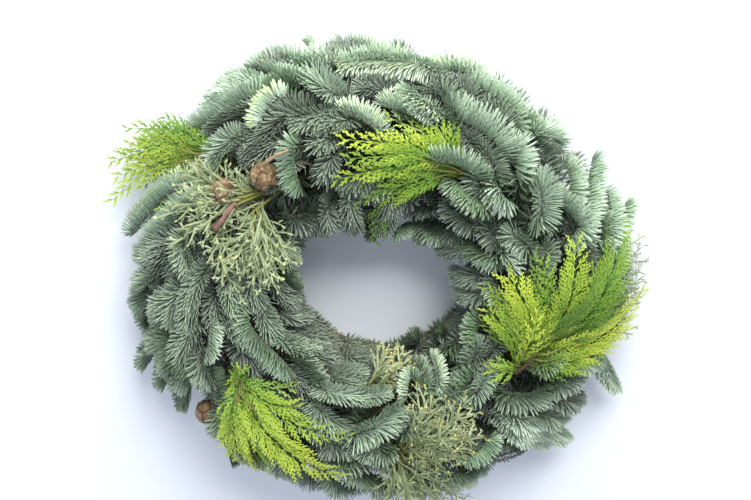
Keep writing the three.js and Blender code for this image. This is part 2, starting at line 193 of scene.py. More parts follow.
# %% [markdown]
# ## Paths and strands
#
# Two shapes make all the greenery. A route is one smooth path, for stems and wire. A strand is a
# short bent leaf: it sets out from its root towards a knee and arrives at its tip, and there are
# thousands, so they are kept as whole arrays and skinned together. Particles or hair curves would
# be quicker to write, but here the leaves have to be real meshes.

# %% Routes
def route(points, samples=16):
    """A smooth path through the points, the centripetal Catmull-Rom curve. Between two points it is
    a cubic; its slopes at both come from the neighbours, weighted by the root of the gaps."""
    p = np.asarray(points, float)
    p = np.vstack([2 * p[0] - p[1], p, 2 * p[-1] - p[-2]])
    step = np.diff(p, axis=0)
    gap = np.sqrt(np.linalg.norm(step, axis=1))[:, None]
    before, here, after = gap[:-2], gap[1:-1], gap[2:]
    leave = step[:-2] / before - (p[2:-1] - p[:-3]) / (before + here) + step[1:-1] / here
    arrive = step[1:-1] / here - (p[3:] - p[1:-2]) / (here + after) + step[2:] / after
    s = np.linspace(0, 1, samples, endpoint=False)[None, :, None]
    first, last = p[1:-2][:, None], p[2:-1][:, None]
    leave, arrive = (here * leave)[:, None], (here * arrive)[:, None]
    curve = ((2 * s**3 - 3 * s**2 + 1) * first + (s**3 - 2 * s**2 + s) * leave
             + (3 * s**2 - 2 * s**3) * last + (s**3 - s**2) * arrive)
    return np.vstack([curve.reshape(-1, 3), p[-2]])


def between(wanted, known, rows):
    """Rows of three numbers, known at some places, read in straight steps at the wanted ones."""
    return np.stack([np.interp(wanted, known, rows[:, k]) for k in range(3)], 1)


def walk(line, share):
    """Points, and the way on from each, at these shares of a path's length."""
    reach = np.concatenate([[0], np.cumsum(np.linalg.norm(np.diff(line, axis=0), axis=1))])
    slope = np.gradient(line, reach, axis=0)
    wanted = np.asarray(share) * reach[-1]
    return between(wanted, reach, line), unit(between(wanted, reach, slope))


def length_of(line):
    """A path's length: the sum of its steps."""
    return np.linalg.norm(np.diff(line, axis=0), axis=1).sum()


# %% Strands
@dataclass
class Strands:
    """Bent leaves or twigs, one to a row: root, knee and tip are the three corners of a parabola,
    side is the way the width lies, and tint picks each one's colour from 0 to 1."""

    root: np.ndarray
    knee: np.ndarray
    tip: np.ndarray
    side: np.ndarray
    width: np.ndarray
    tint: np.ndarray

    def bends(self):
        """What on_strand needs of them."""
        return self.root, self.knee, self.tip, self.side


def on_strand(root, knee, tip, side, s):
    """The point at share s of the parabola, (1-s)^2 root + 2s(1-s) knee + s^2 tip, with the way on
    from there, the way its face looks and the way its width lies."""
    middle = (1 - s) ** 2 * root + 2 * s * (1 - s) * knee + s**2 * tip
    along = unit((1 - s) * (knee - root) + s * (tip - knee))
    face = unit(np.cross(along, side))
    return middle, along, face, np.cross(face, along)


def together(bunches):
    """Several bunches of strands as one."""
    return Strands(*(np.concatenate([getattr(b, f.name) for b in bunches]) for f in fields(Strands)))


def kept_in(strands):
    """The same strands, with no corner below the gap over the table or above the highest tip."""
    for points in (strands.root, strands.knee, strands.tip):
        points[:, 2] = points[:, 2].clip(FLOOR_GAP, HIGHEST_TIP)
    return strands


# %% [markdown]
# ## Skins
#
# A skin is what closes round a path: rings of corners, faces from ring to ring, and a place for
# each face on a colour chart. The chart is the mesh's UV map, and it tells a material which leaf it
# is on and how far along. Every piece below is made of such skins, joined in one mesh.

# %% Rings of faces
def ring_quads(rings, sides):
    """The corners of every four-sided face between rings of that many sides, when the corners are
    counted round each ring in turn: two on one ring, then the two across from them on the next."""
    low = np.arange(rings - 1)[:, None] * sides
    here = np.arange(sides)
    after = (here + 1) % sides
    return np.stack([low + here, low + after, low + after + sides, low + here + sides], -1)


def ring_chart(shares, sides):
    """The places of the same corners on a chart: even steps across, and along by the rings' shares."""
    shares = np.asarray(shares, float)
    here = np.arange(sides)
    across = np.stack([here, here + 1, here + 1, here], -1)[None] / sides
    along = np.stack([shares[:-1], shares[:-1], shares[1:], shares[1:]], -1)[:, None]
    return np.stack(np.broadcast_arrays(across, along), -1)


# %% What a skin holds
TINTS = 96  # strips of the colour chart, side by side
MARGIN = 0.12  # of a strip, left empty along both its edges
STEADY_WAY = [0.3, 0.2, 1.0]  # no stem runs straight along it
CAP_SHARE = [1, 0.1]  # of a patch, taken by the cap at each end


@dataclass
class Section:
    """A leaf's outline: its corners in widths from the middle, and for the side after each corner the
    band it has along the colour chart and its two edges across the strip."""

    corners: list
    bands: list
    edges: list


@dataclass
class Skin:
    """Corners, then faces of the same number of corners in each block with their places on the
    colour chart, then the number of the material and whether the surface is rounded."""

    corners: np.ndarray
    blocks: list
    material: int = 0
    rounded: bool = False


# %% Skin of many strands
def strand_skin(bunches, section, rings):
    """A section carried along every strand's parabola, shrunk by each ring's size and closed to a
    point at the root and the tip. On the colour chart each strand keeps to the strip of its tint:
    across goes from edge to edge, and along goes through each side's band."""
    strands = kept_in(together(bunches))
    count, ring_count, sides = len(strands.root), len(rings), len(section.corners)
    share, size = np.asarray(rings, float).T
    root, knee, tip, side = (each[:, None] for each in strands.bends())
    middle, _, face, side = on_strand(root, knee, tip, side, share[None, :, None])
    wide = strands.width[:, None, None] * size[None, :, None]
    across, out = np.asarray(section.corners, float).T
    corners = (middle[:, :, None] + (wide * side)[:, :, None] * across[:, None]
               + (wide * face)[:, :, None] * out[:, None])
    corners = np.concatenate([corners.reshape(count, -1, 3), root, tip], 1).reshape(-1, 3)

    in_rings = ring_count * sides
    first = (np.arange(count) * (in_rings + 2))[:, None]
    quads = first[:, :, None, None] + ring_quads(ring_count, sides)
    here = np.arange(sides)
    after = (here + 1) % sides
    last = first + in_rings - sides
    root_at, tip_at = (np.broadcast_to(last + sides + k, (count, sides)) for k in (0, 1))
    ends = np.stack([np.stack([first + after, first + here, root_at], -1),
                     np.stack([last + here, last + after, tip_at], -1)], 1)

    strip = np.floor(strands.tint.clip(0, 0.999) * TINTS)[:, None, None, None]
    edges, bands = np.asarray(section.edges, float), np.asarray(section.bands, float)

    def on_chart(across, along):
        """Across within each strand's strip, and along within each side's band."""
        u = (strip + MARGIN + (1 - 2 * MARGIN) * across) / TINTS
        v = bands[:, 0, None] + (bands[:, 1] - bands[:, 0])[:, None] * along[None, :, None]
        return np.stack(np.broadcast_arrays(u, v), -1)

    quad_chart = on_chart(edges[:, [0, 1, 1, 0]],
                          np.stack([share[:-1], share[:-1], share[1:], share[1:]], -1))
    centre = edges.mean(1)[:, None]
    end_chart = on_chart(np.stack([np.hstack([edges[:, ::-1], centre]), np.hstack([edges, centre])]),
                         np.array([[share[0], share[0], 0], [share[-1], share[-1], 1]]))
    return Skin(corners, [(quads.reshape(-1, 4), quad_chart.reshape(-1, 4, 2)),
                          (ends.reshape(-1, 3), end_chart.reshape(-1, 3, 2))])


# %% Skin of a route
def route_skin(line, shares, radii, sides, chart, material=0, steady=None):
    """A round section carried along a path, with a radius at each share of its length, and closed
    at both ends. chart is the corner and size of its patch on the colour chart, and steady the way
    the section's width lies, one for the whole path or one for each share."""
    spot, way = walk(line, shares)
    if steady is None:
        steady = np.cross(line[-1] - line[0], STEADY_WAY)
    face = unit(np.cross(way, steady))
    side = np.cross(face, way)
    angle = np.arange(sides) * 2 * np.pi / sides
    ring = np.cos(angle)[:, None] * side[:, None] + np.sin(angle)[:, None] * face[:, None]
    corners = (spot[:, None] + np.asarray(radii, float)[:, None, None] * ring).reshape(-1, 3)
    patch, size = np.array(chart)
    quads = ring_quads(len(spot), sides).reshape(-1, 4)
    quad_chart = (patch + size * ring_chart(shares, sides)).reshape(-1, 4, 2)
    here = np.arange(sides)
    caps = np.stack([here[::-1], len(corners) - sides + here])
    disc = 0.5 + 0.5 * np.stack([np.cos(angle), np.sin(angle)], -1)
    cap_chart = patch + size * CAP_SHARE * disc
    return Skin(corners, [(quads, quad_chart), (caps, np.stack([cap_chart[::-1], cap_chart]))],
                material, rounded=True)


# %% Making a piece from its skins
made_triangles = {}


def make_piece(name, skins, materials, replaces):
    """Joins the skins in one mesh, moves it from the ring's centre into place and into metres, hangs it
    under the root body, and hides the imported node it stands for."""
    first, corners, loops, sizes, chart, worn, smooth = 0, [], [], [], [], [], []
    for skin in skins:
        for faces, places in skin.blocks:
            loops.append((faces + first).ravel())
            sizes.append(np.full(len(faces), faces.shape[1]))
            chart.append(places.reshape(-1, 2))
            worn.append(np.full(len(faces), skin.material))
            smooth.append(np.full(len(faces), skin.rounded))
        corners.append(skin.corners)
        first += len(skin.corners)
    corners = np.concatenate(corners) * MM + RING_CENTRE
    loops, sizes = np.concatenate(loops), np.concatenate(sizes)
    mesh = bpy.data.meshes.new(name)
    mesh.vertices.add(len(corners))
    mesh.vertices.foreach_set("co", corners.astype(np.float32).ravel())
    mesh.loops.add(len(loops))
    mesh.loops.foreach_set("vertex_index", loops.astype(np.int32))
    mesh.polygons.add(len(sizes))
    starts = np.concatenate([[0], np.cumsum(sizes)[:-1]])
    mesh.polygons.foreach_set("loop_start", starts.astype(np.int32))
    mesh.update(calc_edges=True)
    mesh.polygons.foreach_set("material_index", np.concatenate(worn).astype(np.int32))
    mesh.polygons.foreach_set("use_smooth", np.concatenate(smooth))
    layer = mesh.uv_layers.new(name="OFBake")
    layer.uv.foreach_set("vector", np.concatenate(chart).astype(np.float32).ravel())
    for material in materials:
        mesh.materials.append(material)
    mesh.update()
    piece = bpy.data.objects.new(name, mesh)
    bpy.context.scene.collection.objects.link(piece)
    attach(piece, "root")
    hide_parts(replaces)
    made_triangles[name] = int((sizes - 2).sum())
    return piece


# %% [markdown]
# ## Leaf colours
#
# No two shoots of a noble fir are the same green: some are nearly silver, some lime. Part of that spread
# is painted light: the ink blue and deep green inside the wreath are painted shade, and the lightest
# tints go partly to shoots where the lamp falls. Every leaf takes one strip of a colour chart, and the
# chart is a ramp from dark to light. A little spread in the tint of single needles keeps a shoot from
# looking painted. The strips are places on a UV map and not an image, so the colours stay numbers.

# %% Short words for nodes
def node(tree, kind, inputs=(), **settings):
    """A new shader node with its settings, its inputs joined to sockets or set to values."""
    made = tree.nodes.new(kind)
    for key, value in settings.items():
        setattr(made, key, value)
    for key, value in dict(inputs).items():
        if isinstance(value, bpy.types.NodeSocket):
            tree.links.new(value, made.inputs[key])
        else:
            made.inputs[key].default_value = value
    return made


def maths(tree, operation, *values):
    """One sum on numbers, giving its output socket."""
    return node(tree, "ShaderNodeMath", enumerate(values), operation=operation).outputs[0]


def slide(tree, value, start, end, low, high):
    """A number that slides from low, where the value is at start, to high, where it is at end."""
    return node(tree, "ShaderNodeMapRange", {"Value": value, "From Min": start, "From Max": end,
                                             "To Min": low, "To Max": high}).outputs[0]


def dimmed(tree, colour, share):
    """A colour times a number."""
    return node(tree, "ShaderNodeVectorMath", {0: colour, "Scale": share}, operation="SCALE").outputs[0]


def chart_spot(tree):
    """Where on the colour chart this spot of the piece lies."""
    return node(tree, "ShaderNodeUVMap", uv_map="OFBake").outputs[0]


def ramp(tree, share, stops):
    """Colours along a line, from (place, sRGB hex) pairs."""
    made = node(tree, "ShaderNodeValToRGB", {"Fac": share})
    elements = made.color_ramp.elements
    while len(elements) < len(stops):
        elements.new(0.5)
    for element, (position, colour) in zip(elements, stops):
        element.position = position
        element.color = linear(colour)
    return made.outputs["Color"]


def linear(colour):
    """An sRGB hex colour as the linear numbers that shaders use."""
    parts = np.array([int(colour[k:k + 2], 16) for k in (1, 3, 5)]) / 255
    return (*np.where(parts < 0.04045, parts / 12.92, ((parts + 0.055) / 1.055) ** 2.4), 1.0)


def blend(tree, share, first, second):
    """Two colours mixed by a share. The node's sockets 6 and 7 are its colours."""
    return node(tree, "ShaderNodeMix", {"Factor": share, 6: first, 7: second},
                data_type="RGBA").outputs[2]


def new_group(name, inputs, outputs):
    """An empty node group with float or colour sockets, and its two end nodes."""
    kinds = {"number": "NodeSocketFloat", "colour": "NodeSocketColor"}
    group = bpy.data.node_groups.new(name, "ShaderNodeTree")
    for label, kind in inputs:
        group.interface.new_socket(label, in_out="INPUT", socket_type=kinds[kind])
    for label, kind in outputs:
        group.interface.new_socket(label, in_out="OUTPUT", socket_type=kinds[kind])
    return group, group.nodes.new("NodeGroupInput").outputs, group.nodes.new("NodeGroupOutput").inputs


def joined(tree, pairs):
    """Links each (from, to) pair of sockets."""
    for start, end in pairs:
        tree.links.new(start, end)


# %% The colour chart, as a node group
leaf_chart, _, chart_out = new_group("leaf_chart", [], [
    ("Tint", "number"), ("Across", "number"), ("Along", "number"), ("Underside", "number"),
    ("Flicker", "number")])
chart_place = node(leaf_chart, "ShaderNodeSeparateXYZ", {0: chart_spot(leaf_chart)})
strip = maths(leaf_chart, "MULTIPLY", chart_place.outputs["X"], TINTS)
whole_strip = maths(leaf_chart, "FLOOR", strip)
band = maths(leaf_chart, "MULTIPLY", chart_place.outputs["Y"], 2.0)
flicker = node(leaf_chart, "ShaderNodeTexWhiteNoise", {"W": whole_strip}, noise_dimensions="1D")
joined(leaf_chart, [
    (maths(leaf_chart, "DIVIDE", whole_strip, TINTS), chart_out["Tint"]),
    (maths(leaf_chart, "FRACT", strip), chart_out["Across"]),
    (maths(leaf_chart, "FRACT", band), chart_out["Along"]),
    (maths(leaf_chart, "GREATER_THAN", chart_place.outputs["Y"], 0.5), chart_out["Underside"]),
    (flicker.outputs["Value"], chart_out["Flicker"])])


def chart_of(tree):
    """The group placed in a material, giving its outputs by name."""
    return node(tree, "ShaderNodeGroup", node_tree=leaf_chart).outputs


print("leaf chart gives:", [socket.name for socket in chart_out][:-1])

# %% [markdown]
# ## Bark
#
# The fir's twigs, the cypress stems and the dry twigs all have bark: two browns in long streaks,
# with fine cracks that catch the light. It is one node group with its own browns in each material.

# %% Bark, as a node group
BARK_ROUGHNESS = 0.8
CRACK_DEPTH = 0.0004

bark_grain, bark_in, bark_out = new_group(
    "bark_grain", [("Dark", "colour"), ("Light", "colour"), ("Streaks", "number")],
    [("Colour", "colour"), ("Height", "number")])
stretched = node(bark_grain, "ShaderNodeMapping",
                 {"Vector": chart_spot(bark_grain), "Scale": (90, 14, 1)})
streak = node(bark_grain, "ShaderNodeTexNoise",
              {"Vector": stretched.outputs[0], "Scale": bark_in["Streaks"], "Detail": 4.0})
joined(bark_grain, [
    (blend(bark_grain, streak.outputs["Fac"], bark_in["Dark"], bark_in["Light"]), bark_out["Colour"]),
    (streak.outputs["Fac"], bark_out["Height"])])


def bark(name, dark, light, streaks):
    """A bark material with its own two browns."""
    material, tree, shader = principled(name, BARK_ROUGHNESS)
    grain = node(tree, "ShaderNodeGroup", node_tree=bark_grain)
    for label, value in (("Dark", linear(dark)), ("Light", linear(light)), ("Streaks", streaks)):
        grain.inputs[label].default_value = value
    cracks = node(tree, "ShaderNodeBump",
                  {"Height": grain.outputs["Height"], "Distance": CRACK_DEPTH})
    joined(tree, [(grain.outputs["Colour"], shader.inputs["Base Color"]),
                  (cracks.outputs["Normal"], shader.inputs["Normal"])])
    return material


fir_bark = bark("fir_bark", "#2e3120", "#5a5a3a", 1.0)
print("bark takes:", [socket.name for socket in bark_in][:-1])

# %% [markdown]
# ## Noble fir
#
# A noble fir's needles stand close round the twig and sweep forwards and upwards from both sides,
# like a bottle brush that was combed. Below they part and show the twig and their pale stripes.
# One needle could be instanced, but the pieces have to be real meshes, so each shoot works out all
# its needles at once: ranks of eight, each in the gaps of the one before, give the even ribs.

# %% Needle material
needle_green, tree, shader = principled("needle_green", 0.48)
chart = chart_of(tree)
green = ramp(tree, chart["Tint"], [
    (0.04, "#253228"), (0.15, "#384e37"), (0.30, "#52714b"), (0.42, "#698a63"),
    (0.54, "#93b091"), (0.67, "#b0cab0"), (0.79, "#c6dabe"), (0.90, "#c4d78c")])
# painted shade: dark at the root, where the needles shade each other, most of all in dark tints; and each
# strip a little lighter or darker at random
painted_root_shade = maths(tree, "MULTIPLY_ADD", chart["Tint"], 0.68, 0.08)
shade_from_root = slide(tree, chart["Along"], 0, 0.6, painted_root_shade, 1)
shade = maths(tree, "MULTIPLY", shade_from_root, slide(tree, chart["Flicker"], 0, 1, 0.78, 1.16))
# paler at the tip, most of all in light tints: young growth, and partly a painted highlight on lit
# needles
tip_share = maths(tree, "MULTIPLY_ADD", chart["Tint"], 0.32, 0.05)
pale_tip_and_highlight = maths(tree, "MULTIPLY", slide(tree, chart["Along"], 0.5, 1, 0, 1), tip_share)
coloured = blend(tree, pale_tip_and_highlight, dimmed(tree, green, shade), linear("#d2deb6"))
# a pale stripe on each side of the rib, strongest below, and faint in dark tints so their painted shade
# stays dark
from_rib = maths(tree, "ABSOLUTE", maths(tree, "SUBTRACT", chart["Across"], 0.5))
from_stripe = maths(tree, "ABSOLUTE", maths(tree, "SUBTRACT", from_rib, 0.22))
stripe_share = maths(tree, "MULTIPLY_ADD", chart["Tint"], 0.36,
                     maths(tree, "MULTIPLY", chart["Underside"], 0.5))
stripes = maths(tree, "MULTIPLY", slide(tree, from_stripe, 0.13, 0.05, 0, 1), stripe_share)
joined(tree, [(blend(tree, stripes, coloured, linear("#cedbcc")), shader.inputs["Base Color"])])
print("needle_green nodes:", len(tree.nodes))

# %% Needles
UPPER_BAND, UNDER_BAND = (0.01, 0.49), (0.51, 0.99)
NEEDLE_SECTION = Section([(-0.5, 0), (0, -0.35), (0.5, 0)], [UNDER_BAND, UNDER_BAND, UPPER_BAND],
                         [(0, 0.5), (0.5, 1), (1, 0)])
NEEDLE_RINGS = [(0.3, 1.0), (0.88, 0.85)]  # share of the length, and of the width
HIDDEN_RINGS = [(0.5, 1.35)]
NEEDLES_IN_RANK = 8
NEEDLE_WIDTHS = (1.45, 1.85)
NEEDLE_LENGTHS = (0.92, 1.06)  # shortest and longest, as shares of the length asked for
KNEE_SHARE = 0.38  # how far along itself a needle turns
BACK_FLATTER, BACK_SHORTER, BACK_ONWARDS = 0.5, 0.2, 0.6
# needles on a shoot's back get a lighter tint: painted light on the upper side that faces the lamp, and
# partly its frostier bloom
FLANK_TINT, BACK_ADDS = 0.86, 0.2
RANK_SLIP = 0.06  # of the gap between ranks
SEAT_SLIP = 0.07  # radians round the twig
LEAN_SLIP = 3  # degrees
WAY_SLIP = 0.035  # of a step along the needle
TINT_SLIP = 0.022
TINT_ENDS = (0.005, 0.915)  # the strips right of these hold bark


def brush(line, back, shares, length, spread, lean, lift, onwards, tone, chance):
    """Needles rooted at those shares of a twig. They stand in ranks: one rank fans out evenly over a
    spread on both sides of the twig's back, and the next stands in its gaps. Each needle hugs the
    twig at first, at a lean from it, and then turns: by lift to the back, by the rest outwards, and
    by onwards to the twig's tip. Those on the back itself lie flatter and shorter, so they cover the
    twig."""
    count = len(shares)
    rank, seat = np.divmod(np.arange(count), NEEDLES_IN_RANK)
    rank_gap = (shares[-1] - shares[0]) * NEEDLES_IN_RANK / count
    shares = shares[rank * NEEDLES_IN_RANK] + chance.normal(0, RANK_SLIP * rank_gap, count)
    spot, way = walk(line, shares)
    back = unit(back - (back * way).sum(1, keepdims=True) * way)
    flank = np.cross(way, back)
    turned = 2 * (seat + 0.25 + 0.5 * (rank % 2)) / NEEDLES_IN_RANK - 1
    turned = np.radians(spread) * turned + chance.normal(0, SEAT_SLIP, count)
    outwards = np.cos(turned)[:, None] * back + np.sin(turned)[:, None] * flank
    on_back = np.cos(turned).clip(0) ** 6
    lean = lean * (1 - BACK_FLATTER * on_back) + chance.normal(0, LEAN_SLIP, count)
    lean = np.radians(lean)[:, None]
    lead = np.sin(lean) * outwards + np.cos(lean) * way
    onwards = (onwards + BACK_ONWARDS * on_back)[:, None]
    onward = unit((1 - 0.7 * lift) * outwards + lift * back + onwards * way
                  + chance.normal(0, WAY_SLIP, (count, 3)))
    reach = (length * (1 - BACK_SHORTER * on_back) * chance.uniform(*NEEDLE_LENGTHS, count))[:, None]
    root = spot + outwards
    knee = root + KNEE_SHARE * reach * lead
    tip = knee + (1 - KNEE_SHARE) * reach * onward
    # lighter on the back: painted light on the side that faces the lamp, and partly its frostier bloom
    tint = tone * (FLANK_TINT + BACK_ADDS * np.cos(turned)) + chance.normal(0, TINT_SLIP, count)
    return Strands(root, knee, tip, np.cross(lead, onward), chance.uniform(*NEEDLE_WIDTHS, count),
                   tint.clip(*TINT_ENDS))


# %% One shoot of noble fir
BARK_PATCH = ((0.945, 0.02), (0.05, 0.96))
STEM_SIDES = 6
INSET = 0.6  # how deep a bough lies below its shoot's top, for each mm of half width
SUNK = 0.55  # how far the twig then sinks away from its shoot's back, likewise
LONGEST = 1.3  # the longest needle, likewise
LEAFY_BEFORE = 0.2  # of the leafy part, by which its needles begin early
CROWDING = 1.12  # 1 spaces needles evenly, and more sets them closer towards the tip
FULL_FROM, SHORT_FROM = 0.15, 0.82  # where needles have their full length, and where they lose it
SPARSE = 0.25  # needles on the bound part, for each on the leafy one


def bough_line(bed, row):
    """The path of a bough: out of its bound end, then under the line from its start to its tip,
    deep enough for half its width. Also the way its width lies and the share that is bare."""
    turn0, radius0, depth0, turn1, radius1, depth1, half_width = row[:7]
    turn1 = turn1 - 360 * np.round((turn1 - turn0) / 360)
    inset = INSET * half_width
    mid_turn, mid_radius = (turn0 + turn1) / 2, (radius0 + radius1) / 2
    start = place(turn0, radius0, depth0 + inset)
    middle = place(mid_turn, mid_radius, (depth0 + depth1) / 2 + inset)
    tip = place(turn1, radius1, depth1 + inset)
    line = route([on_straw(*bed, STEM_BED), start, middle, tip])
    across = unit(np.cross(tip - start, out_of_dome(mid_turn, mid_radius)))
    leafy = np.linalg.norm(middle - start) + np.linalg.norm(tip - middle)
    return line, across, 1 - leafy / length_of(line)


def fir_shoot(bed, row, per_mm, chance):
    """A leafy end with all its needles swept to its back, and a bound part with sparser needles all
    round it. The twig lies below the middle of the brush, so it sinks away from the back. Needles
    stand closer towards the tip, where they are shorter and point onwards."""
    half_width, roll, tone = row[6:]
    line, across, bare = bough_line(bed, row)
    whole = length_of(line)
    along = np.linspace(0, 1, len(line))
    _, way = walk(line, along)
    back = unit(np.cross(across, way))
    roll = np.radians(roll)
    back = np.cos(roll) * back + np.sin(roll) * np.cross(way, back)
    sunk = SUNK * half_width * np.clip((along - bare + 0.1) / 0.3, 0, 1)
    line = line - sunk[:, None] * back
    longest = LONGEST * half_width
    first, last = bare - LEAFY_BEFORE * (1 - bare), 1 - 0.45 * longest / whole
    step = np.arange(int(per_mm * (last - first) * whole)) + 0.5
    step /= len(step)
    shares = first + (last - first) * (1 - (1 - step) ** CROWDING)
    near_tip = np.clip((step - SHORT_FROM) / (1 - SHORT_FROM), 0, 1) ** 1.4
    length = longest * (0.8 + 0.2 * np.clip(step / FULL_FROM, 0, 1) - 0.3 * near_tip)
    leafy = brush(line, between(shares, along, back), shares, length, spread=172,
                  lean=80 - 46 * near_tip, lift=0.9, onwards=0.02 + 0.9 * near_tip,
                  tone=tone + 0.05 * near_tip, chance=chance)
    inner = np.linspace(0.3 * first, first, int(SPARSE * per_mm * 0.7 * first * whole))
    # the bound needles take half the shoot's tone: painted shade deep in the wreath, and partly older
    # needles
    bound = brush(line, between(inner, along, back), inner, np.full(len(inner), longest), spread=175,
                  lean=62.0, lift=0.2, onwards=0.35, tone=0.5 * tone, chance=chance)
    stem_shares = np.array([0, 0.04, 0.6 * bare, bare, 0.5 + 0.5 * bare, 1 - 0.4 * longest / whole])
    stem_radii = [1.6, 2.2, 1.9, 0.9, 0.65, 0.45]
    stem = route_skin(line, stem_shares, stem_radii, STEM_SIDES, BARK_PATCH, material=1)
    return leafy, bound, stem


def fir_sprig(name, packed, bed, rows, per_mm, rings, seed):
    """A bound sprig: all the shoots of one stem, in one mesh. bed is where the stem is bound to the
    straw, as turns round the ring and round its section, and rings give its needles their shape."""
    chance = np.random.default_rng(seed)
    leafy, bound, stems = zip(*[fir_shoot(bed, row, per_mm, chance) for row in rows])
    skins = [strand_skin(leafy, NEEDLE_SECTION, rings),
             strand_skin(bound, NEEDLE_SECTION, HIDDEN_RINGS)]
    make_piece(name, [*skins, *stems], [needle_green, fir_bark], packed)


# %% [markdown]
# ## Where the fir shoots lie
#
# Every line below is one bound sprig: where its stem is tied to the straw, then its shoots. A
# shoot is written as the turn, radius and depth of its start and of its tip, half its width, how
# far it is rolled over, and its tone. A florist rolls shoots on purpose: rolled by 0 they show their
# brush, by about 60 their combed side, and by 150 or more their pale underside.

